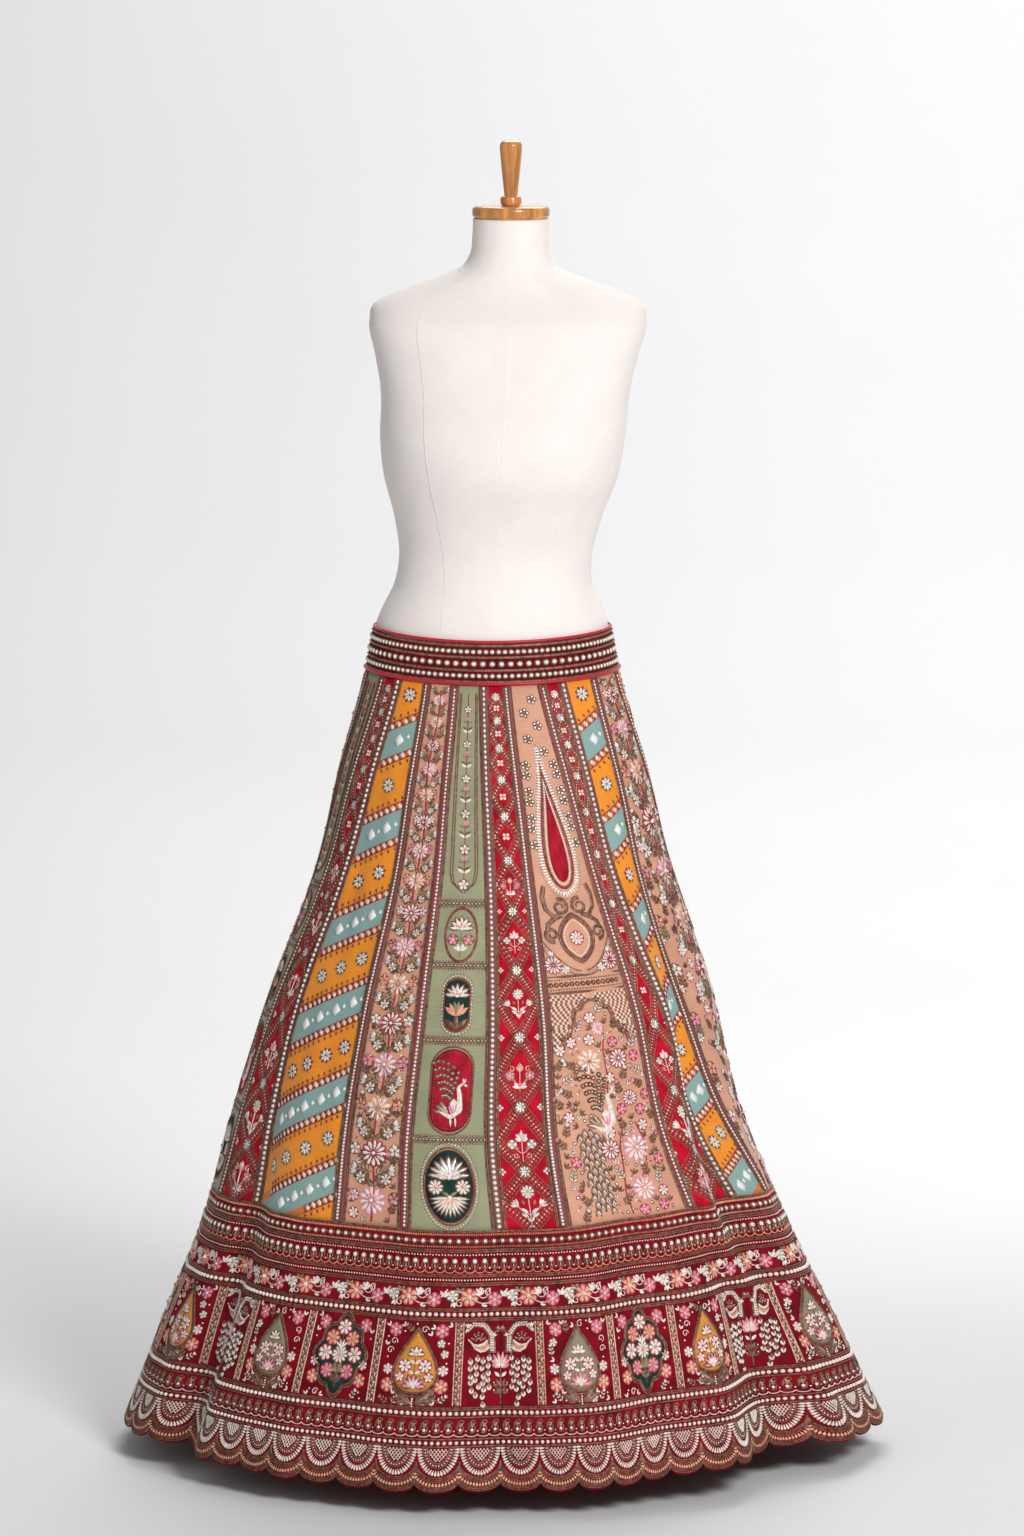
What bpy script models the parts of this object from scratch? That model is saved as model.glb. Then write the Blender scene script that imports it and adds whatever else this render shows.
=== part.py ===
"""A lehenga skirt worn on a limbless dress form with a plain stand.

The skirt is eighteen flared gores (kalis) joined side by side, a narrow tape over each of
their seams, a deep border of six sections with a scalloped lower edge, and a waistband with
a piping above and below it.  The origin is the middle of the base's underside, the front
faces -Y, and angles are degrees round the vertical, 0 at the front and growing towards +X.
"""

import math

import bpy
import numpy as np

# Heights, in metres above the floor.
BAND_TOP = 1.006
WAIST_SEAM = 0.958
SEAM_MIDDLE = 0.640
BORDER_SEAM = 0.320
SCALLOP_CUSP = 0.040
HEM = 0.030
FRONT_DIP = 0.010

# Cloth and trimmings.
GORE_THICK = 0.0015
BORDER_THICK = 0.0022
BAND_THICK = 0.0025
SEAM_GAP = 0.0005
TAPE_WIDTH = 0.010
TAPE_LIFT = 0.0003
TAPE_THICK = 0.0010
PIPING_HEIGHT = 0.0036
PIPING_THICK = 0.0020
PIPING_LIFT = 0.0004

GORE_ROWS = 7
BAND_COLUMNS = 48
SECTION_COUNT = 6
FIRST_SECTION_SEAM = 0.8
SCALLOPS_PER_SECTION = 9
STEPS_PER_SCALLOP = 4

# Dress form and stand.
FORM_TOP = 1.5020
NECK_CAP = (0.0470, 0.0150)
PLATE_HALF_WIDTH = 0.1395
PLATE_HALF_DEPTH = 0.1005
PLATE_THICK = 0.0120
POLE_RADIUS = 0.0160
BASE_RADIUS = 0.1850
BASE_HEIGHT = 0.0180
PART_GAP = 0.0003
RING_STEPS = 48

# The skirt's outline: a level, its half width, its half depth and its middle's offset in X.
OUTLINE = (
    # level, half_width, half_depth, middle_x
    (1.010, 0.1438, 0.1088, -0.0107),
    (0.958, 0.1535, 0.1165, -0.0107),
    (0.840, 0.1856, 0.1580, -0.0100),
    (0.730, 0.2110, 0.1940, -0.0095),
    (0.560, 0.2685, 0.2600, -0.0110),
    (0.420, 0.3055, 0.3040, -0.0140),
    (0.300, 0.3445, 0.3450, -0.0045),
    (0.136, 0.4150, 0.4150, -0.0010),
    (0.030, 0.4600, 0.4620, 0.0000),
)

# The soft folds: where each crest or valley stands at the border seam and at the hem, its
# half width in degrees, the level where it starts, and how far it stands out at the border
# seam and at the hem.
FOLDS = (
    # at_border, at_hem, half_width, starts, out_border, out_hem
    (-84.0, -88.0, 20.0, 0.620, 0.010, 0.004),
    (-61.0, -62.0, 6.0, 0.520, -0.012, -0.040),
    (-46.0, -44.0, 8.0, 0.500, 0.006, -0.008),
    (-27.0, -26.0, 8.0, 0.480, -0.007, -0.004),
    (-14.0, -13.0, 7.0, 0.550, 0.004, 0.009),
    (0.5, 0.5, 4.5, 0.420, -0.003, -0.009),
    (14.0, 15.0, 7.0, 0.600, 0.004, 0.010),
    (25.0, 26.0, 5.0, 0.420, -0.003, -0.008),
    (36.0, 38.0, 5.0, 0.380, 0.002, 0.010),
    (57.0, 52.0, 11.0, 0.800, -0.022, -0.050),
    (49.0, 66.0, 5.0, 0.860, 0.018, 0.012),
    (70.0, 84.0, 9.0, 0.700, 0.006, 0.012),
    (103.0, 101.0, 7.0, 0.700, -0.016, -0.038),
    (118.0, 117.0, 7.0, 0.640, 0.008, 0.014),
    (137.0, 139.0, 8.0, 0.780, -0.020, -0.044),
    (152.0, 155.0, 6.0, 0.820, 0.010, 0.012),
    (171.0, 172.0, 9.0, 0.560, -0.008, -0.022),
    (189.0, 188.0, 8.0, 0.600, 0.006, 0.012),
    (207.0, 203.0, 7.0, 0.740, -0.018, -0.042),
    (224.0, 226.0, 7.0, 0.680, 0.007, 0.013),
    (243.0, 245.0, 8.0, 0.620, -0.010, -0.030),
)

# Where the cloth is gathered sideways: the middle and half width in degrees, the shift in
# degrees at the border seam and at the hem, and how far the folds there lift the cloth.
GATHERS = (
    # middle, half_width, at_border, at_hem, lift
    (50.0, 32.0, -5.5, -10.0, 0.012),
    (-58.0, 22.0, 2.0, 2.5, 0.003),
    (139.0, 20.0, 3.0, 6.0, 0.008),
    (205.0, 20.0, -3.0, -6.0, 0.007),
)

# The gores in order round the skirt, each with the angle of its left-hand seam.
GORES = (
    # kind, seam_at_waist, seam_at_middle, seam_at_border
    ("oval", -78.0, -89.6, -93.5),
    ("diamond", -58.9, -72.5, -77.0),
    ("stripe", -46.7, -59.3, -63.5),
    ("vine", -30.3, -33.8, -35.0),
    ("oval", -17.0, -18.5, -19.0),
    ("diamond", -3.9, -0.1, 1.2),
    ("garden", 6.3, 13.2, 15.5),
    ("diamond", 22.5, 39.2, 49.0),
    ("stripe", 33.0, 47.0, 66.3),
    ("vine", 52.4, 59.5, 77.0),
    ("stripe", 75.0, 95.7, 102.6),
    ("vine", 108.0, 125.3, 131.1),
    ("oval", 128.0, 141.8, 146.4),
    ("diamond", 152.0, 161.7, 164.9),
    ("garden", 171.0, 177.3, 179.4),
    ("diamond", 196.0, 205.7, 208.9),
    ("stripe", 215.0, 221.3, 223.4),
    ("vine", 250.0, 251.4, 251.9),
)
GORE_COLUMNS = {"oval": 7, "diamond": 6, "vine": 6, "stripe": 9, "garden": 9}
GORE_COLOURS = {
    "oval": (0.28, 0.30, 0.16),
    "diamond": (0.42, 0.012, 0.03),
    "vine": (0.58, 0.33, 0.24),
    "stripe": (0.76, 0.24, 0.03),
    "garden": (0.58, 0.33, 0.24),
}

# The form's body, from its lower end to the neck: height, half width, half depth, middle.
FORM_SECTIONS = (
    # height, half_width, half_depth, middle_x, middle_y, squareness
    (0.7925, 0.1450, 0.1030, -0.0100, 0.000, 2.0),
    (0.8100, 0.1540, 0.1110, -0.0105, 0.000, 2.0),
    (0.8700, 0.1560, 0.1130, -0.0107, 0.000, 2.0),
    (0.9400, 0.1475, 0.1085, -0.0107, 0.000, 2.0),
    (0.9900, 0.1425, 0.1055, -0.0107, 0.000, 2.0),
    (1.0130, 0.1400, 0.1035, -0.0107, 0.000, 2.0),
    (1.0330, 0.1320, 0.0990, -0.0107, 0.000, 2.0),
    (1.0570, 0.1205, 0.0920, -0.0100, -0.001, 2.0),
    (1.0900, 0.1165, 0.0890, -0.0070, -0.003, 2.1),
    (1.1400, 0.1250, 0.0990, -0.0035, -0.009, 2.2),
    (1.1950, 0.1420, 0.1180, 0.0000, -0.016, 2.2),
    (1.2400, 0.1480, 0.1220, 0.0020, -0.016, 2.3),
    (1.2900, 0.1500, 0.1080, 0.0050, -0.008, 2.4),
    (1.3400, 0.1600, 0.0960, 0.0070, 0.000, 2.5),
    (1.3800, 0.1680, 0.0860, 0.0085, 0.006, 2.5),
    (1.4020, 0.1600, 0.0740, 0.0090, 0.010, 2.3),
    (1.4180, 0.1250, 0.0660, 0.0095, 0.012, 2.1),
    (1.4310, 0.0880, 0.0590, 0.0100, 0.011, 2.0),
    (1.4420, 0.0620, 0.0530, 0.0105, 0.009, 2.0),
    (1.4560, 0.0505, 0.0490, 0.0110, 0.006, 2.0),
    (1.4800, 0.0465, 0.0470, 0.0115, 0.003, 2.0),
    (FORM_TOP, 0.0460, 0.0470, 0.0120, 0.002, 2.0),
)

# The turned finial's outer side, from its rounded top down to the cap, above the cap's top.
FINIAL_PROFILE = (
    # radius, height
    (0.0000, 0.0800),
    (0.0070, 0.0795),
    (0.0115, 0.0775),
    (0.0137, 0.0735),
    (0.0135, 0.0670),
    (0.0118, 0.0480),
    (0.0098, 0.0290),
    (0.0082, 0.0150),
    (0.0082, 0.0125),
    (0.0118, 0.0112),
    (0.0132, 0.0070),
    (0.0125, 0.0028),
    (0.0105, 0.0000),
    (0.0000, 0.0000),
)


def table_curve(at, values, where):
    """A smooth curve through a table's points, held flat past its ends (cubic Hermite)."""
    slopes = np.gradient(values, at)
    where = np.clip(where, at[0], at[-1])
    piece = np.clip(np.searchsorted(at, where) - 1, 0, len(at) - 2)
    span = at[piece + 1] - at[piece]
    u = (where - at[piece]) / span
    start, end = values[piece], values[piece + 1]
    rise, fall = slopes[piece] * span, slopes[piece + 1] * span
    return (
        start * (1 + 2 * u) * (1 - u) ** 2
        + rise * u * (1 - u) ** 2
        + end * u**2 * (3 - 2 * u)
        + fall * u**2 * (u - 1)
    )


def turn(angle):
    """An angle in degrees brought to -180..180."""
    return (angle + 180.0) % 360.0 - 180.0


def below_border(level):
    """0 at the border seam and above it, 1 at the hem."""
    return np.clip((BORDER_SEAM - level) / (BORDER_SEAM - HEM), 0.0, 1.0)


def gathered(angle, level):
    """The angle where the cloth lies once it is gathered sideways, and its lift."""
    share = np.clip((WAIST_SEAM - level) / (WAIST_SEAM - BORDER_SEAM), 0.0, 1.0) ** 2
    low = below_border(level)
    moved, lifted = angle + 0.0, 0.0
    for middle, half_width, at_border, at_hem, lift in GATHERS:
        near = share * np.exp(-((turn(angle - middle) / half_width) ** 2))
        moved = moved + near * (at_border + (at_hem - at_border) * low)
        lifted = lifted + near * lift
    return moved, lifted


def folded(angle, level):
    """How far the folds stand out from the plain outline at a place on the skirt."""
    low = below_border(level)
    out = np.zeros(np.broadcast(angle, level).shape)
    for at_border, at_hem, half_width, starts, out_border, out_hem in FOLDS:
        grown = np.clip((starts - level) / (starts - BORDER_SEAM), 0.0, 1.0)
        height = grown * out_border + (out_hem - out_border) * low
        middle = at_border + (at_hem - at_border) * low
        out = out + height * np.exp(-((turn(angle - middle) / half_width) ** 2))
    return out


def skirt_middle(angle, level):
    """Points on the skirt's outer face, before any offset along its normal."""
    rows = np.array(OUTLINE[::-1])
    half_width, half_depth, middle_x = (
        table_curve(rows[:, 0], rows[:, column], level) for column in (1, 2, 3)
    )
    place, lifted = gathered(angle, level)
    fold = folded(place, level)
    around = np.radians(place)
    front = np.clip(np.cos(around), 0.0, 1.0) ** 1.5
    raised = np.clip((level - BORDER_SEAM) / (WAIST_SEAM - BORDER_SEAM), 0.0, 1.0) ** 2
    return np.stack(
        np.broadcast_arrays(
            middle_x + (half_width + fold) * np.sin(around),
            -(half_depth + fold) * np.cos(around),
            level + lifted - FRONT_DIP * front * raised,
        ),
        axis=-1,
    )


def skirt_points(angle, level, out):
    """Points at a distance out from the skirt's outer face, along its own normal."""
    across = skirt_middle(angle + 0.2, level) - skirt_middle(angle - 0.2, level)
    along = skirt_middle(angle, level + 0.001) - skirt_middle(angle, level - 0.001)
    normal = np.cross(across, along)
    normal /= np.linalg.norm(normal, axis=-1, keepdims=True)
    return skirt_middle(angle, level) + out * normal


def degrees_for(length, angle, level):
    """The angle that a length measured round the cloth covers at a place on it."""
    step = skirt_middle(angle + 0.25, level) - skirt_middle(angle - 0.25, level)
    return 0.5 * length / np.linalg.norm(step, axis=-1)


def seam_angle(gore, level):
    """The angle of a gore's left-hand seam: a curve through its three places."""
    turns, index = divmod(gore, len(GORES))
    places = np.array(GORES[index][:0:-1], float)
    levels = np.array([BORDER_SEAM, SEAM_MIDDLE, WAIST_SEAM])
    return table_curve(levels, places, level) + 360.0 * turns


def material(name, colour, roughness):
    """A Principled material with the sub-part's colour and roughness."""
    made = bpy.data.materials.new(name)
    made.use_nodes = True
    shader = made.node_tree.nodes["Principled BSDF"]
    shader.inputs["Base Color"].default_value = (*colour, 1.0)
    shader.inputs["Roughness"].default_value = roughness
    shader.inputs["Metallic"].default_value = 0.0
    return made


def add_object(name, mesh, finish, collection):
    """Puts a mesh into the collection as a named object with its material."""
    mesh.materials.append(finish)
    made = bpy.data.objects.new(name, mesh)
    collection.objects.link(made)
    return made


def wall_mesh(name, outer, inner, closed):
    """A wall between two grids of points, rows going down and columns to the right."""
    rows, columns = outer.shape[:2]
    index = np.arange(rows * columns).reshape(rows, columns)
    if closed:
        index = np.hstack([index, index[:, :1]])
    across = rows * columns

    def strip(one, two):
        """Triangles between two lines of point numbers."""
        return np.concatenate(
            [
                np.stack([one[:-1], two[:-1], two[1:]], axis=-1),
                np.stack([one[:-1], two[1:], one[1:]], axis=-1),
            ]
        )

    faces = [strip(index[row], index[row + 1]) for row in range(rows - 1)]
    faces += [face[:, ::-1] + across for face in list(faces)]
    faces.append(strip(index[0] + across, index[0]))
    faces.append(strip(index[-1], index[-1] + across))
    if not closed:
        faces.append(strip(index[:, 0], index[:, 0] + across))
        faces.append(strip(index[:, -1] + across, index[:, -1]))
    mesh = bpy.data.meshes.new(name)
    points = np.concatenate([outer.reshape(-1, 3), inner.reshape(-1, 3)])
    mesh.from_pydata(points.tolist(), [], np.concatenate(faces).tolist())
    mesh.update()
    return mesh


def cloth_wall(name, angle, level, face, thick, finish, collection, closed=False):
    """A wall of cloth whose outer face stands off the skirt's surface by face."""
    mesh = wall_mesh(
        name,
        skirt_points(angle, level, face),
        skirt_points(angle, level, face - thick),
        closed,
    )
    return add_object(name, mesh, finish, collection)


def gore_levels():
    """The levels of a gore's rows, from the waist seam to just above the border seam."""
    return np.linspace(WAIST_SEAM - SEAM_GAP, BORDER_SEAM + SEAM_GAP, GORE_ROWS)[:, None]


def add_gores(finishes, collection):
    """The eighteen flared gores, each with a column of points under its tapes' edges."""
    level = gore_levels()
    for gore, (kind, *_) in enumerate(GORES):
        left, right = seam_angle(gore, level), seam_angle(gore + 1, level)
        start = left + degrees_for(SEAM_GAP / 2, left, level)
        end = right - degrees_for(SEAM_GAP / 2, right, level)
        under_left = left + degrees_for(TAPE_WIDTH / 2, left, level)
        under_right = right - degrees_for(TAPE_WIDTH / 2, right, level)
        share = np.linspace(0.0, 1.0, GORE_COLUMNS[kind] - 2)[None, :]
        inside = under_left + (under_right - under_left) * share
        angle = np.hstack([start, inside, end])
        cloth_wall(
            f"gore_{gore + 1:02d}_{kind}", angle, level, 0.0, GORE_THICK, finishes[kind], collection
        )


def add_tapes(finish, collection):
    """The tapes over the seams, made from the gores' own points, moved out."""
    level = gore_levels()
    level[0] = WAIST_SEAM - PIPING_HEIGHT / 2 - SEAM_GAP
    for gore in range(len(GORES)):
        seam = seam_angle(gore, level)
        offsets = (-TAPE_WIDTH / 2, -SEAM_GAP / 2, SEAM_GAP / 2, TAPE_WIDTH / 2)
        angle = np.hstack([seam + degrees_for(offset, seam, level) for offset in offsets])
        cloth_wall(
            f"seam_tape_{gore + 1:02d}",
            angle,
            level,
            TAPE_LIFT + TAPE_THICK,
            TAPE_THICK,
            finish,
            collection,
        )


def add_border(finish, collection):
    """The velvet border in six sections, with a row of half-round scallops as its hem."""
    columns = SCALLOPS_PER_SECTION * STEPS_PER_SCALLOP
    width = 360.0 / SECTION_COUNT
    across = (np.arange(columns + 1) / STEPS_PER_SCALLOP) % 1.0 * 2.0 - 1.0
    edge = SCALLOP_CUSP - (SCALLOP_CUSP - HEM) * np.sqrt(1.0 - across**2)
    for section in range(SECTION_COUNT):
        start = FIRST_SECTION_SEAM + section * width
        plain = start + width * np.linspace(0.0, 1.0, columns + 1)
        levels = (BORDER_SEAM - SEAM_GAP, 0.5 * (BORDER_SEAM + SCALLOP_CUSP), edge)
        level = np.stack([np.broadcast_to(row, plain.shape) for row in levels])
        angle = np.repeat(plain[None, :], len(levels), axis=0)
        gap = degrees_for(SEAM_GAP / 2, angle, level)
        angle[:, 0] += gap[:, 0]
        angle[:, -1] -= gap[:, -1]
        cloth_wall(
            f"border_section_{section + 1}", angle, level, 0.0, BORDER_THICK, finish, collection
        )


def add_waistband(velvet, piping, collection):
    """The waistband, closed round the waist, and the pipings along its two edges."""
    angle = (360.0 / BAND_COLUMNS * np.arange(BAND_COLUMNS))[None, :]

    def ring(name, top, bottom, face, thick, finish):
        """A closed band of cloth between two levels."""
        level = np.array([[top], [bottom]]) + 0.0 * angle
        cloth_wall(
            name, angle + 0.0 * level, level, face, thick, finish, collection, closed=True
        )

    ring("waistband", BAND_TOP, WAIST_SEAM, 0.0, BAND_THICK, velvet)
    ring(
        "waistband_top_piping",
        BAND_TOP + SEAM_GAP + PIPING_HEIGHT,
        BAND_TOP + SEAM_GAP,
        PIPING_LIFT,
        BAND_THICK,
        piping,
    )
    ring(
        "waistband_bottom_piping",
        WAIST_SEAM + PIPING_HEIGHT / 2,
        WAIST_SEAM - PIPING_HEIGHT / 2,
        PIPING_LIFT + PIPING_THICK,
        PIPING_THICK,
        piping,
    )


def add_form(cover, wood, collection):
    """The limbless form's body, lofted through its sections, and the plate under it."""
    around = np.linspace(0.0, 2.0 * math.pi, RING_STEPS, endpoint=False)
    rings = []
    for height, half_width, half_depth, middle_x, middle_y, squareness in FORM_SECTIONS:
        power = 2.0 / squareness
        across, ahead = np.sin(around), -np.cos(around)
        rings.append(
            np.stack(
                [
                    middle_x + half_width * np.sign(across) * np.abs(across) ** power,
                    middle_y + half_depth * np.sign(ahead) * np.abs(ahead) ** power,
                    np.full(RING_STEPS, height),
                ],
                axis=-1,
            )
        )
    points = np.concatenate(rings)
    start = np.arange(RING_STEPS)
    following = np.roll(start, -1)
    faces = [tuple(start[::-1]), tuple(start + RING_STEPS * (len(rings) - 1))]
    for row in range(len(rings) - 1):
        low, high = row * RING_STEPS, (row + 1) * RING_STEPS
        faces += zip(low + start, low + following, high + following, high + start)
    mesh = bpy.data.meshes.new("form_torso")
    mesh.from_pydata(points.tolist(), [], [tuple(map(int, face)) for face in faces])
    mesh.update()
    mesh.shade_smooth()
    add_object("form_torso", mesh, cover, collection)

    bpy.ops.mesh.primitive_cylinder_add(vertices=RING_STEPS, radius=1.0, depth=PLATE_THICK)
    plate = bpy.context.object
    plate.name = plate.data.name = "form_hip_plate"
    plate.scale = (PLATE_HALF_WIDTH, PLATE_HALF_DEPTH, 1.0)
    bpy.ops.object.transform_apply(scale=True)
    bottom, middle_x = FORM_SECTIONS[0][0], FORM_SECTIONS[0][3]
    plate.location = (middle_x, 0.0, bottom - PART_GAP - PLATE_THICK / 2)
    adopt(plate, wood, collection)


def adopt(made, finish, collection):
    """Moves an object made by an operator into the collection and gives it its material."""
    for holder in list(made.users_collection):
        holder.objects.unlink(made)
    collection.objects.link(made)
    made.data.materials.clear()
    made.data.materials.append(finish)


def add_turned(name, profile, place, finish, collection):
    """A turned piece: its outer side's profile, swept round the vertical with a Screw."""
    mesh = bpy.data.meshes.new(name)
    edges = [(point, point + 1) for point in range(len(profile) - 1)]
    mesh.from_pydata([(radius, 0.0, height) for radius, height in profile], edges, [])
    made = add_object(name, mesh, finish, collection)
    made.location = place
    screw = made.modifiers.new("turned", "SCREW")
    screw.axis = "Z"
    screw.steps = RING_STEPS
    screw.render_steps = RING_STEPS
    screw.use_merge_vertices = True
    screw.merge_threshold = 0.00005
    screw.use_smooth_shade = True
    return made


def add_wooden_parts(wood, metal, collection):
    """The neck's wooden cap and finial, and the pole and base that carry the form."""
    neck_x, neck_y = FORM_SECTIONS[-1][3], FORM_SECTIONS[-1][4]
    radius, height = NECK_CAP
    rounding = 0.005
    cap = [(0.0, height), (radius - rounding, height)]
    for step in range(1, 6):
        corner = math.pi / 2 * (1 - step / 5)
        cap.append(
            (
                radius - rounding + rounding * math.cos(corner),
                height - rounding + rounding * math.sin(corner),
            )
        )
    cap += [(radius, 0.004), (radius - 0.003, 0.0), (0.0, 0.0)]
    cap_bottom = FORM_TOP + PART_GAP
    add_turned("neck_cap", cap, (neck_x, neck_y, cap_bottom), wood, collection)
    finial_bottom = cap_bottom + height + PART_GAP
    add_turned(
        "neck_finial", FINIAL_PROFILE, (neck_x, neck_y, finial_bottom), wood, collection
    )
    base = (
        (0.0, BASE_HEIGHT),
        (BASE_RADIUS - 0.012, BASE_HEIGHT),
        (BASE_RADIUS - 0.004, BASE_HEIGHT - 0.004),
        (BASE_RADIUS, BASE_HEIGHT - 0.010),
        (BASE_RADIUS, 0.0),
        (0.0, 0.0),
    )
    add_turned("stand_base", base, (0.0, 0.0, 0.0), wood, collection)
    pole_bottom = BASE_HEIGHT + PART_GAP
    pole_top = FORM_SECTIONS[0][0] - PLATE_THICK - 2 * PART_GAP
    bpy.ops.mesh.primitive_cylinder_add(
        vertices=RING_STEPS,
        radius=POLE_RADIUS,
        depth=pole_top - pole_bottom,
        location=(0.0, 0.0, (pole_top + pole_bottom) / 2),
    )
    pole = bpy.context.object
    pole.name = pole.data.name = "stand_pole"
    adopt(pole, metal, collection)


def main():
    """Clears the scene and builds the skirt, the form and the stand."""
    for old in list(bpy.data.objects):
        bpy.data.objects.remove(old, do_unlink=True)
    collection = bpy.data.collections.new("lehenga_skirt")
    bpy.context.scene.collection.children.link(collection)
    gore_finishes = {
        kind: material(f"{kind}_cloth", colour, 0.8) for kind, colour in GORE_COLOURS.items()
    }
    velvet = material("border_velvet", (0.20, 0.006, 0.02), 0.85)
    piping = material("piping_satin", (0.45, 0.012, 0.04), 0.6)
    tape = material("zardozi_tape", (0.33, 0.21, 0.14), 0.55)
    linen = material("form_linen", (0.90, 0.84, 0.80), 0.9)
    wood = material("turned_wood", (0.55, 0.23, 0.07), 0.35)
    metal = material("painted_metal", (0.75, 0.74, 0.72), 0.45)
    add_gores(gore_finishes, collection)
    add_tapes(tape, collection)
    add_border(velvet, collection)
    add_waistband(velvet, piping, collection)
    add_form(linen, wood, collection)
    add_wooden_parts(wood, metal, collection)


main()
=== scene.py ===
"""Looks of a lehenga skirt on a dress form: its cloths, its hand embroidery, the form and the studio.

The skirt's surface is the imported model's own: a level and an angle round the vertical give a
point, and everything on the cloth is worked out on that surface and stands off it by its lift.
Angles are degrees, 0 at the front (-Y) and growing towards +X; lengths are metres.
"""

import logging
import math
from dataclasses import dataclass, field
from enum import Enum

import bpy
import numpy as np
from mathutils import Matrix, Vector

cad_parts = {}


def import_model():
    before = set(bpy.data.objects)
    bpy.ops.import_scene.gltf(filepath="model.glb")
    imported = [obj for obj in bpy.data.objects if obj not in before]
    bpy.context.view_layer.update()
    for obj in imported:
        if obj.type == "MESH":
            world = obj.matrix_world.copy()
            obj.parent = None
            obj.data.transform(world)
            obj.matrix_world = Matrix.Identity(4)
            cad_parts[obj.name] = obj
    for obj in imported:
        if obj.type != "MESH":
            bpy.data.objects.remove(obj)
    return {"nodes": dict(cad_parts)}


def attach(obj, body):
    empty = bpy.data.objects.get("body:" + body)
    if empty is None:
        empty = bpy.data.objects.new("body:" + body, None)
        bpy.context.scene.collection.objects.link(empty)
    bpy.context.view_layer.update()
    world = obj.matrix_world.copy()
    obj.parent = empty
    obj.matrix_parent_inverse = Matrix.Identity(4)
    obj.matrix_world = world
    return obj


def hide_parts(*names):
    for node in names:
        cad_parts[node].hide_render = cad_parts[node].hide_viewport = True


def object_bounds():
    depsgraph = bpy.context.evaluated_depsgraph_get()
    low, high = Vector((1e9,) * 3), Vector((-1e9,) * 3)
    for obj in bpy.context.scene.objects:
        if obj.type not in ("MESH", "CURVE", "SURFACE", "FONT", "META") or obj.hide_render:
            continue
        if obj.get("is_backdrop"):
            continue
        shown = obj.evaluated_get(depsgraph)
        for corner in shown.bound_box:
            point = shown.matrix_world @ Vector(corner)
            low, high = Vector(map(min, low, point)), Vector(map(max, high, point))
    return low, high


Array = np.ndarray
LOG = logging.getLogger("lehenga")


# ----- the skirt's surface


def table_curve(at: Array, values: Array, where: Array) -> Array:
    """A cubic Hermite curve through a table's points, held flat past its ends.

    Args:
        at: the table's places, rising.
        values: the table's values there.
        where: the places asked for.

    Returns:
        The curve's value at each place asked for.
    """
    slopes = np.gradient(values, at)
    where = np.clip(where, at[0], at[-1])
    piece = np.clip(np.searchsorted(at, where) - 1, 0, len(at) - 2)
    span = at[piece + 1] - at[piece]
    u = (where - at[piece]) / span
    start, end = values[piece], values[piece + 1]
    rise, fall = slopes[piece] * span, slopes[piece + 1] * span
    return (
        start * (1 + 2 * u) * (1 - u) ** 2 + rise * u * (1 - u) ** 2
        + end * u**2 * (3 - 2 * u) + fall * u**2 * (u - 1)
    )


def xyz(*parts: object) -> Array:
    """Coordinates, two or three of them, stacked along a last axis."""
    return np.stack(np.broadcast_arrays(*parts), axis=-1)


def shares(count: int) -> Array:
    """Even steps from 0 to 1."""
    return np.linspace(0.0, 1.0, count)


def circle(count: int) -> Array:
    """Even steps round a circle, in radians."""
    return 2 * np.pi * np.arange(count) / count


def turn(angle: Array) -> Array:
    """An angle in degrees brought to -180..180."""
    return (angle + 180.0) % 360.0 - 180.0


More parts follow.
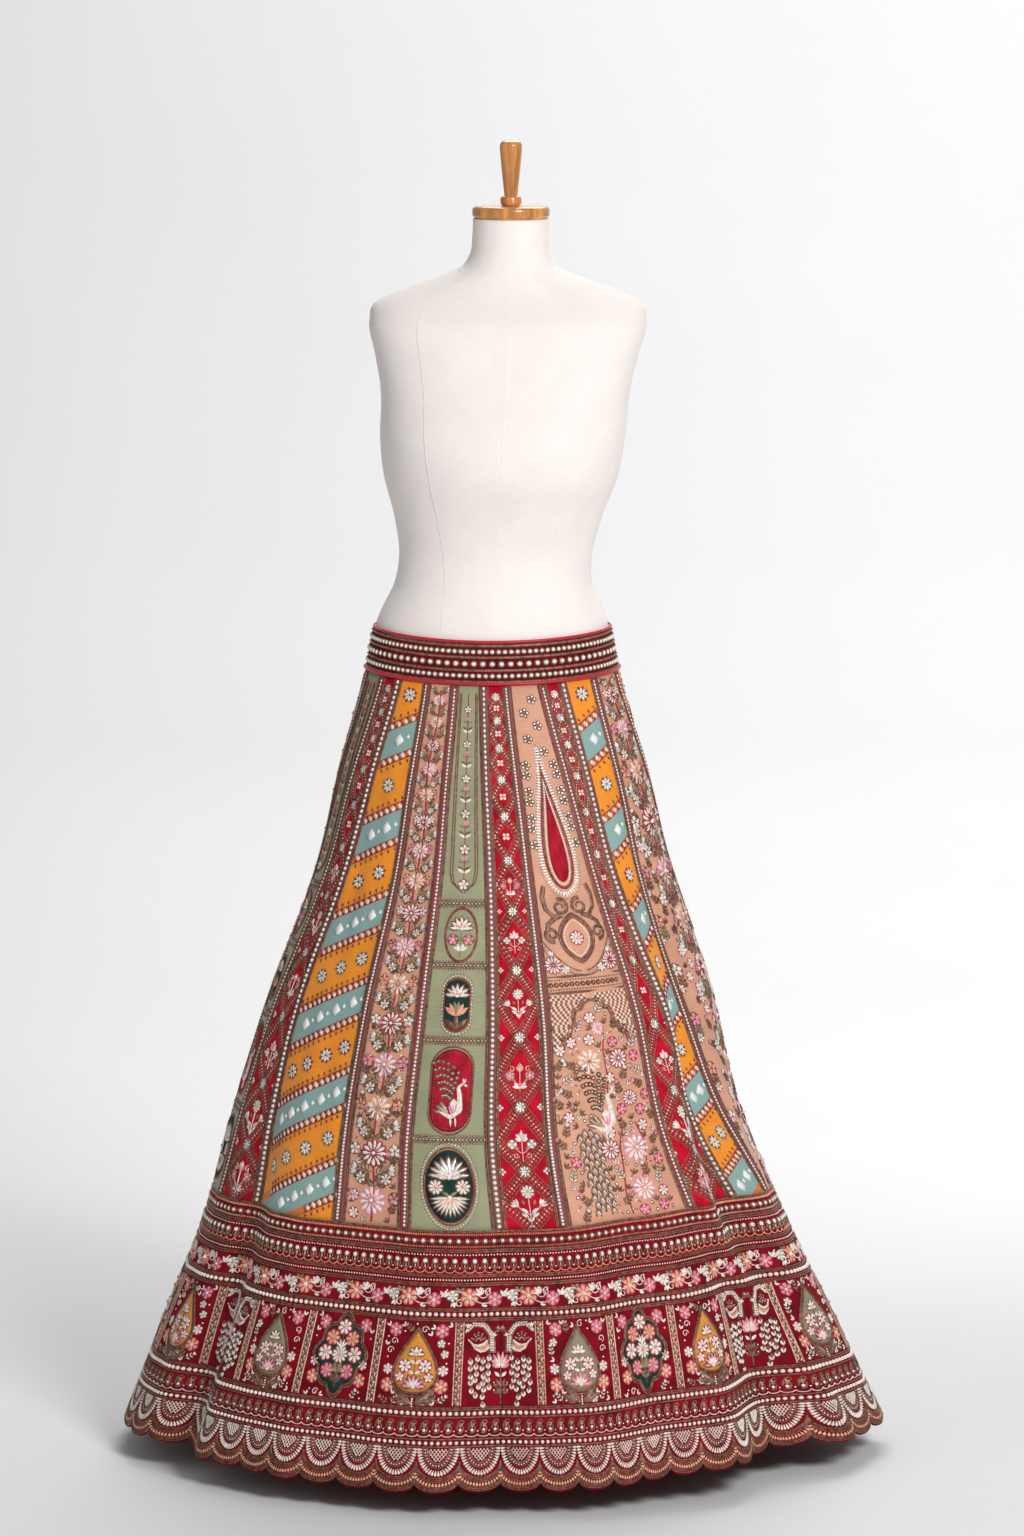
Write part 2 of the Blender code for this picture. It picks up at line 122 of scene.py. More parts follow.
@dataclass
class SkirtForm:
    """The hung skirt's surface, worked out from its outline, folds and gathers."""

    waist: float = 0.958
    border: float = 0.32
    seam_middle: float = 0.64
    cusp: float = 0.04
    hem: float = 0.03
    band_top: float = 1.006
    front_dip: float = 0.01
    # level, half width, half depth, middle's offset in X
    outline: tuple = (
        (1.01, 0.1438, 0.1088, -0.0107), (0.958, 0.1535, 0.1165, -0.0107),
        (0.84, 0.1856, 0.158, -0.01), (0.73, 0.211, 0.194, -0.0095),
        (0.56, 0.2685, 0.26, -0.011), (0.42, 0.3055, 0.304, -0.014),
        (0.3, 0.3445, 0.345, -0.0045), (0.136, 0.415, 0.415, -0.001),
        (0.03, 0.46, 0.462, 0.0),
    )
    # angle at border, angle at hem, half width, starts at level, out at border, out at hem
    folds: tuple = (
        (-84.0, -88.0, 20.0, 0.62, 0.01, 0.004), (-61.0, -62.0, 6.0, 0.52, -0.012, -0.04),
        (-46.0, -44.0, 8.0, 0.5, 0.006, -0.008), (-27.0, -26.0, 8.0, 0.48, -0.007, -0.004),
        (-14.0, -13.0, 7.0, 0.55, 0.004, 0.009), (0.5, 0.5, 4.5, 0.42, -0.003, -0.009),
        (14.0, 15.0, 7.0, 0.6, 0.004, 0.01), (25.0, 26.0, 5.0, 0.42, -0.003, -0.008),
        (36.0, 38.0, 5.0, 0.38, 0.002, 0.01), (57.0, 52.0, 11.0, 0.8, -0.022, -0.05),
        (49.0, 66.0, 5.0, 0.86, 0.018, 0.012), (70.0, 84.0, 9.0, 0.7, 0.006, 0.012),
        (103.0, 101.0, 7.0, 0.7, -0.016, -0.038), (118.0, 117.0, 7.0, 0.64, 0.008, 0.014),
        (137.0, 139.0, 8.0, 0.78, -0.02, -0.044), (152.0, 155.0, 6.0, 0.82, 0.01, 0.012),
        (171.0, 172.0, 9.0, 0.56, -0.008, -0.022), (189.0, 188.0, 8.0, 0.6, 0.006, 0.012),
        (207.0, 203.0, 7.0, 0.74, -0.018, -0.042), (224.0, 226.0, 7.0, 0.68, 0.007, 0.013),
        (243.0, 245.0, 8.0, 0.62, -0.01, -0.03),
    )
    # middle, half width, shift at border, shift at hem, lift
    gathers: tuple = (
        (50.0, 32.0, -5.5, -10.0, 0.012),
        (-58.0, 22.0, 2.0, 2.5, 0.003),
        (139.0, 20.0, 3.0, 6.0, 0.008),
        (205.0, 20.0, -3.0, -6.0, 0.007),
    )
    # kind, left-hand seam's angle at the waist, halfway down and at the border
    gores: tuple = (
        ("oval", -78.0, -89.6, -93.5),
        ("diamond", -58.9, -72.5, -77.0),
        ("stripe", -46.7, -59.3, -63.5),
        ("vine", -30.3, -33.8, -35.0),
        ("oval", -17.0, -18.5, -19.0),
        ("diamond", -3.9, -0.1, 1.2),
        ("garden", 6.3, 13.2, 15.5),
        ("diamond", 22.5, 39.2, 49.0),
        ("stripe", 33.0, 47.0, 66.3),
        ("vine", 52.4, 59.5, 77.0),
        ("stripe", 75.0, 95.7, 102.6),
        ("vine", 108.0, 125.3, 131.1),
        ("oval", 128.0, 141.8, 146.4),
        ("diamond", 152.0, 161.7, 164.9),
        ("garden", 171.0, 177.3, 179.4),
        ("diamond", 196.0, 205.7, 208.9),
        ("stripe", 215.0, 221.3, 223.4),
        ("vine", 250.0, 251.4, 251.9),
    )

    def __post_init__(self) -> None:
        """Tabulates the slant length below the waistband's top, for the charts."""
        self.rows = np.array(self.outline[::-1])
        self.levels = np.linspace(self.hem - 0.004, self.band_top + 0.004, 400)
        radius = self.mean_radius(self.levels)
        steps = np.hypot(np.diff(self.levels), np.diff(radius))
        self.slants = np.concatenate([[0.0], np.cumsum(steps)])

    def mean_radius(self, level: Array) -> Array:
        """The plain outline's mean radius at a level."""
        across = table_curve(self.rows[:, 0], self.rows[:, 1], level)
        deep = table_curve(self.rows[:, 0], self.rows[:, 2], level)
        return 0.5 * (across + deep)

    def slant(self, level: Array) -> Array:
        """The slant length up to a level, from just below the hem."""
        return np.interp(level, self.levels, self.slants)

    def level_at(self, slant: Array) -> Array:
        """The level at a slant length."""
        return np.interp(slant, self.slants, self.levels)

    def middle(self, angle: Array, level: Array) -> Array:
        """Points on the outer face: the outline's ellipse, plus each fold's bell, gathered.

        Args:
            angle: degrees round the skirt, before the gathers shift them.
            level: heights before the front's dip and the folds' lift.

        Returns:
            The points, in the row frame, with X, Y and Z last.
        """
        low = np.clip((self.border - level) / (self.border - self.hem), 0.0, 1.0)
        down = np.clip((self.waist - level) / (self.waist - self.border), 0.0, 1.0)
        place, lifted = angle + 0.0, 0.0
        for middle, half_width, at_border, at_hem, lift in self.gathers:
            near = down**2 * np.exp(-((turn(angle - middle) / half_width) ** 2))
            place = place + near * (at_border + (at_hem - at_border) * low)
            lifted = lifted + near * lift
        fold = 0.0
        for at_border, at_hem, half_width, starts, out_border, out_hem in self.folds:
            grown = np.clip((starts - level) / (starts - self.border), 0.0, 1.0)
            height = grown * out_border + (out_hem - out_border) * low
            centre = at_border + (at_hem - at_border) * low
            fold = fold + height * np.exp(-((turn(place - centre) / half_width) ** 2))
        half_width, half_depth, middle_x = (table_curve(self.rows[:, 0], self.rows[:, column],
            level) for column in (1, 2, 3))
        around = np.radians(place)
        front = np.clip(np.cos(around), 0.0, 1.0) ** 1.5
        fold = fold + self.creases(place, level)
        return xyz(middle_x + (half_width + fold) * np.sin(around), -(half_depth + fold) * np.cos(around),
            level + lifted - self.front_dip * front * (1.0 - down) ** 2)

    def creases(self, angle: Array, level: Array) -> Array:
        """Small uneven ripples of the hung cloth: three long waves that fade at the waist."""
        around = np.radians(angle)
        down = np.clip((self.waist - level) / 0.25, 0.0, 1.0)
        waves = (
            0.9 * np.sin(17.0 * around + 9.0 * level)
            + 0.7 * np.sin(29.0 * around - 13.0 * level + 1.0)
            + 0.5 * np.sin(43.0 * around + 21.0 * level + 2.0)
        )
        return 0.0009 * down * waves

    def points(self, angle: Array, level: Array, out: Array) -> Array:
        """Points that stand off the outer face by out, along its normal.

        Args:
            angle: degrees round the skirt.
            level: nominal heights.
            out: distances along the normal, outwards.

        Returns:
            The points, with X, Y and Z last.
        """
        across = self.middle(angle + 0.15, level) - self.middle(angle - 0.15, level)
        along = self.middle(angle, level + 0.001) - self.middle(angle, level - 0.001)
        normal = np.cross(across, along)
        normal /= np.linalg.norm(normal, axis=-1, keepdims=True)
        return self.middle(angle, level) + np.asarray(out)[..., None] * normal

    def seam(self, gore: int, level: Array) -> Array:
        """The angle of a gore's left-hand seam at each level."""
        turns, index = divmod(gore, len(self.gores))
        places = np.array(self.gores[index][:0:-1], float)
        levels = np.array([self.border, self.seam_middle, self.waist])
        return table_curve(levels, places, level) + 360.0 * turns

    def edge(self, angle: Array, first: float, pitch: float) -> Array:
        """The scalloped hem's level at each angle: a half ellipse under each scallop."""
        across = ((angle - first) / pitch) % 1.0 * 2.0 - 1.0
        return self.cusp - (self.cusp - self.hem) * np.sqrt(1.0 - across**2)


FORM = SkirtForm()
GORE_SLOTS = {"oval": "sage_silk", "diamond": "ruby_velvet", "stripe": "mustard_silk"}
TAPE_ROOM = 0.0065
SECTION_COUNT = 6
FIRST_SEAM = 0.8
SCALLOPS = 54
PANEL_PITCH = 15.0


class Chart:
    """Places worked out on one piece: across and up it, in metres."""

    def spots(self, base: Array, x: Array, y: Array) -> tuple[Array, Array]:
        """The skirt's angle and level at places x across and y up."""
        raise NotImplementedError


class GoreChart(Chart):
    """A gore's own places: x from its middle line, y up from the border seam."""

    def __init__(self, gore: int) -> None:
        """Measures the gore's width at its levels."""
        self.gore = gore
        self.kind = FORM.gores[gore][0]
        self.start = float(FORM.slant(FORM.border))
        self.length = float(FORM.slant(FORM.waist)) - self.start
        self.at = np.linspace(0.0, self.length, 30)
        level = FORM.level_at(self.start + self.at)
        left, right = FORM.seam(gore, level), FORM.seam(gore + 1, level)
        angle = left[:, None] + (right - left)[:, None] * shares(25)
        line = FORM.middle(*np.broadcast_arrays(angle, level[:, None]))
        self.widths = np.linalg.norm(np.diff(line, axis=1), axis=-1).sum(axis=1)

    def width(self, y: Array) -> Array:
        """The gore's width at a height above the border seam."""
        return np.interp(y, self.at, self.widths)

    def half(self, y: float, room: float = TAPE_ROOM) -> float:
        """Half the gore's width at a height, less the room kept beside each seam."""
        return 0.5 * float(self.width(y)) - room

    def spots(self, base: Array, x: Array, y: Array) -> tuple[Array, Array]:
        """The skirt's angle and level at places x from the middle and y above the border."""
        level = FORM.level_at(self.start + y)
        left, right = FORM.seam(self.gore, level), FORM.seam(self.gore + 1, level)
        return 0.5 * (left + right) + x * (right - left) / self.width(y), level

    def area(self) -> float:
        """The gore's flat area."""
        return float(np.mean(self.widths) * self.length)


class RoundChart(Chart):
    """Places round the skirt: a base angle, x along the level there, y up from a level."""

    def __init__(self, level: float) -> None:
        """Starts the chart's heights at a level."""
        self.start = float(FORM.slant(level))

    def spots(self, base: Array, x: Array, y: Array) -> tuple[Array, Array]:
        """The skirt's angle and level at x from the base angle and y above the start."""
        level = FORM.level_at(self.start + y)
        return base + np.degrees(x / FORM.mean_radius(level)), level


# ----- finishes


class Nodes:
    """A material's node tree, filled a node at a time."""

    def __init__(self, name: str) -> None:
        """Starts a material with its Principled shader."""
        self.material = bpy.data.materials.new(name)
        self.material.use_nodes = True
        self.tree = self.material.node_tree
        self.shader = self.tree.nodes["Principled BSDF"]

    def add(self, kind: str, inputs: dict, **settings: object) -> bpy.types.Node:
        """Adds a node, sets its properties, and sets or links its inputs.

        Args:
            kind: the node's type name after "ShaderNode".
            inputs: input names or numbers, with a socket to link or a value to set.
            settings: the node's own properties.

        Returns:
            The new node.
        """
        made = self.tree.nodes.new(f"ShaderNode{kind}")
        for key, value in settings.items():
            setattr(made, key, value)
        self.feed(made, inputs)
        return made

    def feed(self, node: bpy.types.Node, inputs: dict) -> None:
        """Sets or links a node's inputs."""
        for key, value in inputs.items():
            socket = node.inputs[key]
            if isinstance(value, bpy.types.NodeSocket):
                self.tree.links.new(value, socket)
            else:
                socket.default_value = value

    def mix(self, share: object, one: object, two: object) -> bpy.types.NodeSocket:
        """A mix of two colours by a share."""
        node = self.add("Mix", {0: share, 6: one, 7: two}, data_type="RGBA")
        return node.outputs[2]

    def math(self, operation: str, one: object, two: object = 0.0) -> bpy.types.NodeSocket:
        """One number worked out from two."""
        return self.add("Math", {0: one, 1: two}, operation=operation).outputs[0]

    def noise(self, where: object, scale: float, detail: float = 3.0) -> bpy.types.NodeSocket:
        """Noise of a size at a place."""
        node = self.add("TexNoise", {"Vector": where, "Scale": scale, "Detail": detail})
        return node.outputs["Fac"]

    def ramp(self, value: object, low: float, high: float) -> bpy.types.NodeSocket:
        """A value brought from low..high to 0..1."""
        node = self.add("MapRange", {0: value, 1: low, 2: high})
        return node.outputs[0]

    def bump(self, height: object, strength: float, distance: float) -> None:
        """A bump on the shader's normal."""
        node = self.add("Bump", {"Height": height, "Strength": strength, "Distance": distance})
        self.feed(self.shader, {"Normal": node.outputs[0]})


Colour = tuple[float, float, float]


def rgba(colour: Colour, factor: float = 1.0) -> tuple[float, float, float, float]:
    """A colour with full alpha, its value scaled."""
    return (*(min(1.0, part * factor) for part in colour), 1.0)


class Weave(Enum):
    """The kinds of cloth."""

    SILK = "silk"
    VELVET = "velvet"
    SATIN = "satin"
    LINEN = "linen"


@dataclass(frozen=True)
class Cloth:
    """A cloth's colour and weave; its pattern follows the piece's own UV map, in metres."""

    name: str
    colour: Colour
    weave: Weave

    def nodes(self) -> tuple[Nodes, bpy.types.NodeSocket]:
        """The material's nodes and its plain colour, uneven as dyed cloth is."""
        made = Nodes(self.name)
        where = made.add("UVMap", {}, uv_map="cloth").outputs[0]
        slubs = made.add("Mapping", {"Vector": where, "Scale": (60.0, 900.0, 1.0)}).outputs[0]
        slub = made.noise(slubs, 1.0, 4.0)
        cloud = made.noise(where, 22.0, 3.0)
        if self.weave is Weave.VELVET:
            cloud = made.noise(where, 38.0, 5.0)
            share = made.ramp(cloud, 0.3, 0.72)
            colour = made.mix(share, rgba(self.colour, 0.62), rgba(self.colour, 1.45))
        else:
            share = made.ramp(made.math("ADD", slub, cloud), 0.75, 1.25)
            uneven = 0.03 if self.weave is Weave.LINEN else 0.13
            colour = made.mix(share, rgba(self.colour, 1.0 - uneven), rgba(self.colour, 1.0 + uneven))
        return made, colour

    def material(self) -> bpy.types.Material:
        """The finished material."""
        made, colour = self.nodes()
        return self.finish(made, colour)

    def finish(self, made: Nodes, colour: object) -> bpy.types.Material:
        """Puts a colour on the shader with this weave's sheen, gloss and thread relief."""
        where = made.add("UVMap", {}, uv_map="cloth").outputs[0]
        gloss = {Weave.SILK: (0.6, 0.16, 0.45, 0.35), Weave.VELVET: (0.85, 0.1, 0.35, 0.15),
            Weave.SATIN: (0.38, 0.1, 0.4, 0.5), Weave.LINEN: (0.88, 0.15, 0.6, 0.25)}
        rough, sheen, sheen_rough, specular = gloss[self.weave]
        made.feed(made.shader, {"Base Color": colour, "Roughness": rough, "Sheen Weight": sheen,
            "Sheen Roughness": sheen_rough, "Specular IOR Level": specular})
        if self.weave is Weave.VELVET:
            made.feed(made.shader, {"Sheen Tint": rgba(self.colour, 3.2)})
            made.bump(made.noise(where, 900.0, 2.0), 0.25, 0.0006)
        else:
            threads = made.add("Mapping", {"Vector": where, "Scale": (500.0, 1400.0, 1.0)})
            made.bump(made.noise(threads.outputs[0], 1.0, 2.0), 0.3, 0.0005)
        return made.material


@dataclass(frozen=True)
class Trim:
    """A thread, cord, bead or spangle finish, a little uneven from place to place."""

    name: str
    colour: Colour
    roughness: float = 0.6
    metallic: float = 0.0
    coat: float = 0.0
    spread: float = 0.25

    def material(self) -> bpy.types.Material:
        """The finished material."""
        made = Nodes(self.name)
        where = made.add("TexCoord", {}).outputs["Object"]
        share = made.ramp(made.noise(where, 260.0, 2.0), 0.32, 0.68)
        dark, light = 1.0 - self.spread, 1.0 + self.spread
        colour = made.mix(share, rgba(self.colour, dark), rgba(self.colour, light))
        made.feed(made.shader, {"Base Color": colour, "Roughness": self.roughness, "Metallic": self.metallic,
            "Coat Weight": self.coat, "Specular IOR Level": 0.5})
        made.bump(made.noise(where, 1600.0, 1.0), 0.35, 0.0004)
        return made.material


@dataclass(frozen=True)
class Wood:
    """Varnished turned wood, its rings drawn out along the turning axis."""

    name: str
    colour: Colour

    def material(self) -> bpy.types.Material:
        """The finished material: a stretched noise for the grain, under a clear coat."""
        made = Nodes(self.name)
        where = made.add("TexCoord", {}).outputs["Object"]
        drawn = made.add("Mapping", {"Vector": where, "Scale": (70.0, 70.0, 9.0)}).outputs[0]
        grain = made.ramp(made.noise(drawn, 1.6, 6.0), 0.35, 0.7)
        colour = made.mix(grain, rgba(self.colour, 0.62), rgba(self.colour, 1.35))
        made.feed(made.shader, {"Base Color": colour, "Roughness": 0.34, "Coat Weight": 0.5,
            "Coat Roughness": 0.12})
        made.bump(grain, 0.15, 0.0004)
        return made.material


class Thread(Enum):
    """The embroidery's finishes."""

    PEARL = Trim("pearl", (0.9, 0.82, 0.74), 0.28, 0.0, 0.5, 0.14)
    SPANGLE = Trim("silver_spangle", (0.8, 0.76, 0.7), 0.3, 0.55, 0.0, 0.25)
    # mirror chips: a flat diffuse near-white, a painted reflection in place of the mirror's own
    MIRROR = Trim("mirror_chip", (0.92, 0.91, 0.89), 0.3, 0.0, 0.5, 0.04)
    ZARI = Trim("antique_zari", (0.205, 0.098, 0.06), 0.48, 0.35, 0.0, 0.6)
    GOLD = Trim("pale_zari", (0.52, 0.36, 0.24), 0.45, 0.4, 0.0, 0.35)
    WHITE = Trim("white_silk_thread", (0.86, 0.76, 0.69), 0.55, 0.0, 0.0, 0.24)
    PINK = Trim("pink_silk_thread", (0.8, 0.27, 0.34), 0.55, 0.0, 0.0, 0.3)
    PEACH = Trim("peach_silk_thread", (0.8, 0.36, 0.23), 0.55, 0.0, 0.0, 0.25)
    RED = Trim("red_silk_thread", (0.36, 0.012, 0.035), 0.55, 0.0, 0.0, 0.25)
    GREEN = Trim("leaf_green_thread", (0.22, 0.22, 0.11), 0.55, 0.0, 0.0, 0.3)
    DARK = Trim("black_bead", (0.02, 0.012, 0.012), 0.3, 0.0, 0.3, 0.25)


PEARL, SPANGLE, MIRROR, ZARI, GOLD, WHITE, PINK, PEACH, RED, GREEN, DARK = Thread


class Patch(Enum):
    """The cloths of the appliqué patches."""

    BOTTLE = Cloth("bottle_green_velvet", (0.014, 0.04, 0.032), Weave.VELVET)
    AMBER = Cloth("amber_silk", (0.72, 0.27, 0.03), Weave.SILK)
    SMOKE = Cloth("smoke_green_silk", (0.27, 0.23, 0.14), Weave.SILK)
    RUBY = Cloth("ruby_velvet_patch", (0.4, 0.01, 0.028), Weave.VELVET)


# ----- meshes


def mesh_object(name: str, points: Array, faces: Array, uv: Array | None = None) -> object:
    """An object at the origin from points and faces, with a UV per point where given.

    Args:
        name: the piece's name.
        points: (n, 3) places in the row frame.
        faces: (m, 3) or (m, 4) point numbers, turning anticlockwise from outside.
        uv: (n, 2) places for the UV map "cloth", or None.

    Returns:
        The linked object, shaded smooth.
    """
    mesh = bpy.data.meshes.new(name)
    corners = faces.shape[1]
    mesh.vertices.add(len(points))
    mesh.vertices.foreach_set("co", np.ascontiguousarray(points, np.float32).ravel())
    mesh.loops.add(faces.size)
    mesh.loops.foreach_set("vertex_index", np.ascontiguousarray(faces, np.int32).ravel())
    mesh.polygons.add(len(faces))
    mesh.polygons.foreach_set("loop_start", np.arange(0, faces.size, corners, dtype=np.int32))
    if uv is not None:
        layer = mesh.uv_layers.new(name="cloth")
        layer.data.foreach_set("uv", np.ascontiguousarray(uv[faces.ravel()], np.float32).ravel())
    mesh.update()
    mesh.validate()
    mesh.shade_smooth()
    made = bpy.data.objects.new(name, mesh)
    bpy.context.scene.collection.objects.link(made)
    return made


def grid_faces(rows: int, columns: int, closed: bool = False) -> Array:
    """Quads of a grid whose rows go down and columns to the right, seen from outside."""
    index = np.arange(rows * columns).reshape(rows, columns)
    if closed:
        index = np.hstack([index, index[:, :1]])
    return xyz(index[:-1, :-1], index[1:, :-1], index[1:, 1:], index[:-1, 1:]).reshape(-1, 4)


def thicken(piece: object, thick: float) -> None:
    """Gives a cloth piece its wall, inwards."""
    solid = piece.modifiers.new("wall", "SOLIDIFY")
    solid.thickness = thick
    solid.offset = -1.0
    solid.use_rim = True


def settle(piece: object, material: bpy.types.Material, slot: str, *nodes: str) -> object:
    """Dresses a piece, rides it on the one body, and hides the nodes that it stands for."""
    piece.data.materials.append(material)
    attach(piece, "root")
    if nodes:
        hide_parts(*nodes)
    LOG.info("%s: %d faces", piece.name, len(piece.data.polygons))
    return piece


SMALL_BEAD = 0.0024
SUNK = -0.0002


def even(*parts: object) -> object:
    """Each part as a flat row of numbers, all as long as the longest."""
    return (np.atleast_1d(part).astype(float).ravel() for part in np.broadcast_arrays(*parts))


def copies(faces: Array, size: int, count: int) -> Array:
    """The faces of a template of some points, once for each of its copies."""
    return (faces[None] + size * np.arange(count)[:, None, None]).reshape(-1, 3)


def ladder(left: int, right: int, count: int, closed: bool = True) -> Array:
    """Triangles between two rows of points, which start at the numbers left and right."""
    here = np.arange(count if closed else count - 1)
    after = (here + 1) % count
    halves = xyz(left + here, right + here, right + after), xyz(left + here, right + after, left + after)
    return np.concatenate(halves)


def spun(spin: Array, across: Array, up: Array) -> tuple[Array, Array]:
    """Places across and up, turned anticlockwise by degrees, a row for each turn."""
    cos, sin = np.cos(np.radians(spin))[:, None], np.sin(np.radians(spin))[:, None]
    return across * cos - up * sin, across * sin + up * cos


class Motif:
    """Stitches and beads worked out flat: x across, y up, and a lift off the cloth."""

    def __init__(self) -> None:
        """Starts an empty motif."""
        self.parts: dict = {}

    def add(self, thread: object, points: Array, faces: Array) -> "Motif":
        """Adds points (n, 3) with triangles (m, 3) in one thread."""
        self.parts.setdefault(thread, []).append((points, faces))
        return self

    def flat(self, thread: object) -> tuple[Array, Array]:
        """All of one thread's points and triangles, joined."""
        held, points, faces = 0, [], []
        for some, joined in self.parts[thread]:
            points.append(some)
            faces.append(joined + held)
            held += len(some)
        return np.concatenate(points), np.concatenate(faces)

    def stamp(
        self, other: "Motif", x: object = 0.0, y: object = 0.0, spin: object = 0.0, size: object = 1.0,
        raised: float = 0.0,
    ) -> "Motif":
        """Repeats another motif at places: scaled, spun anticlockwise, then moved.

        Args:
            other: the motif to repeat.
            x: the places across.
            y: the places up.
            spin: the turns, in degrees.
            size: the scales.
            raised: the height that the copies start from.

        Returns:
            This motif.
        """
        x, y, spin, size = even(x, y, spin, size)
        for thread in other.parts:
            points, faces = other.flat(thread)
            across, up, height = points.T[:, None] * size[:, None] ** np.array([1, 1, 0.5])[:, None, None]
            across, up = spun(spin, across, up)
            made = xyz(x[:, None] + across, y[:, None] + up, raised + height)
            self.add(thread, made.reshape(-1, 3), copies(faces, len(points), len(x)))
        return self

    def beads(self, thread: object, x: object, y: object, radius: object, height: float = 0.8,
            sides: int = 6) -> "Motif":
        """Domed beads: a rim, a shoulder ring on all but the small ones, and a top."""
        x, y, radius = even(x, y, radius)
        tiny = radius.max() < SMALL_BEAD
        sides = min(sides, 5) if tiny else sides
        around = circle(sides)
        ring = xyz(np.cos(around), np.sin(around))
        rim, shoulder, top = xyz(*ring.T, -0.1), xyz(*(0.78 * ring).T, 0.7 * height), [[0.0, 0.0, height]]
        low = np.arange(sides)
        after = (low + 1) % sides
        if tiny:
            template, faces = np.concatenate([rim, top]), xyz(low, after, sides)
        else:
            template = np.concatenate([rim, shoulder, top])
            faces = [xyz(low, after, after + sides), xyz(low, after + sides, low + sides)]
            faces = np.concatenate([*faces, xyz(low + sides, after + sides, 2 * sides)])
        points = xyz(x, y, 0.0)[:, None] + template[None] * radius[:, None, None]
        return self.add(thread, points.reshape(-1, 3), copies(faces, len(template), len(x)))

    def beaded(
        self, thread: object, path: Array, pitch: float, radius: float, *shape: float, closed: bool = False
    ) -> "Motif":
        """Domed beads at even steps along a path."""
        return self.beads(thread, *resample(path, pitch, closed)[0].T, radius, *shape)

    def leaves(self, thread: object, x: object, y: object, spin: object, length: object, width: object,
            lift: float = 0.0009, blunt: bool = False, flat: bool = False) -> "Motif":
        """Padded leaves from their foot, or blunt petals, with a raised midrib.

        Args:
            thread: the finish.
            x: the feet's places across.
            y: the feet's places up.
            spin: where each leaf points, in degrees from straight up, anticlockwise.
            length: each leaf's length.
            width: each leaf's width.
            lift: the midrib's height.
            blunt: whether they are widest near a rounded tip.
            flat: whether they lie flat, with no midrib.

        Returns:
            This motif.
        """
        x, y, spin, length, width = even(x, y, spin, length, width)
        along = np.array([0.0, 0.34, 0.7, 0.93, 1.0] if blunt else [0.0, 0.22, 0.5, 0.78, 1.0])
        half = np.array([0.0, 0.27, 0.5, 0.36, 0.0] if blunt else [0.0, 0.34, 0.5, 0.34, 0.0])
        middle = [] if flat else [0.0]
        heights = [1.0, 1.0] if flat else [0.0, 1.0, 0.0]
        rows = [xyz([-half[k], *middle, half[k]], along[k], heights) for k in (1, 2, 3)]
        if flat:
            faces = [[0, 2, 1], [1, 2, 4], [1, 4, 3], [3, 4, 6], [3, 6, 5], [5, 6, 7]]
        else:
            faces = [[0, 2, 1], [0, 3, 2], [7, 8, 10], [8, 9, 10]]
            for k in (1, 4):
                faces += [[k, k + 1, k + 4], [k, k + 4, k + 3], [k + 1, k + 2, k + 5], [k + 1, k + 5, k + 4]]
        template = np.concatenate([[[0.0, 0.0, 0.1]], *rows, [[0.0, 1.0, 0.1]]])
        faces = np.array(faces)
        across = template[None, :, 0] * width[:, None]
        up = template[None, :, 1] * length[:, None]
        across, up = spun(spin, across, up)
        points = xyz(x[:, None] + across, y[:, None] + up, template[None, :, 2] * lift)
        return self.add(thread, points.reshape(-1, 3), copies(faces, len(template), len(x)))

    def outlined(self, thread: object, x: object, y: object, spin: object, length: object, width: object,
            lift: float = 0.0012, edge: object = None, blunt: bool = False) -> "Motif":
        """Leaves laid over wider, flatter ones in a darker thread, which show as an outline."""
        length, width = np.asarray(length, float), np.asarray(width, float)
        edge = ZARI if edge is None else edge
        self.leaves(edge, x, y, spin, 1.1 * length, 1.5 * width, 0.25 * lift, blunt, True)
        return self.leaves(thread, x, y, spin, length, width, lift, blunt)

    def cord(self, thread: object, path: Array, width: object, lift: float = 0.001,
            closed: bool = False) -> "Motif":
        """A couched cord along a path: a ridge between two feet, square to the path.

        Args:
            thread: the finish.
            path: (n, 2) places along the cord's middle.
            width: the cord's width, one value or one for each place.
            lift: the ridge's height.
            closed: whether the end joins the start.

        Returns:
            This motif.
        """
        path = np.asarray(path, float)
        if closed:
            ahead, behind = np.roll(path, -1, axis=0), np.roll(path, 1, axis=0)
        else:
            ahead = np.vstack([path[1:], path[-1:]])
            behind = np.vstack([path[:1], path[:-1]])
        along = ahead - behind
        along /= np.maximum(np.linalg.norm(along, axis=1, keepdims=True), 1e-12)
        side = 0.5 * xyz(along[:, 1], -along[:, 0]) * np.reshape(width, (-1, 1))
        count = len(path)
        rows = (path - side, SUNK), (path, lift), (path + side, SUNK)
        points = np.concatenate([xyz(*row.T, height) for row, height in rows])
        faces = [ladder(row, row + count, count, closed) for row in (0, count)]
        return self.add(thread, points, np.concatenate(faces))

    def patch(self, thread: object, outline: Array, lift: float = 0.0007, rings: int = 4) -> "Motif":
        """A cloth patch within an outline, in rings about its middle, its edge turned down."""
        outline = np.asarray(outline, float)
        count, centre = len(outline), outline.mean(axis=0)
        reaches = np.append(shares(rings + 1)[1:], 1.0)
        points = [[[*centre, lift]]]
        for share, height in zip(reaches, np.append(np.full(rings, lift), SUNK)):
            points.append(xyz(*(centre + (outline - centre) * share).T, height))
        rim = 1 + np.arange(count)
        faces = [xyz(0, rim, np.roll(rim, -1))]
        faces += [ladder(1 + ring * count, 1 + (ring + 1) * count, count) for ring in range(rings)]
        return self.add(thread, np.concatenate(points), np.concatenate(faces))


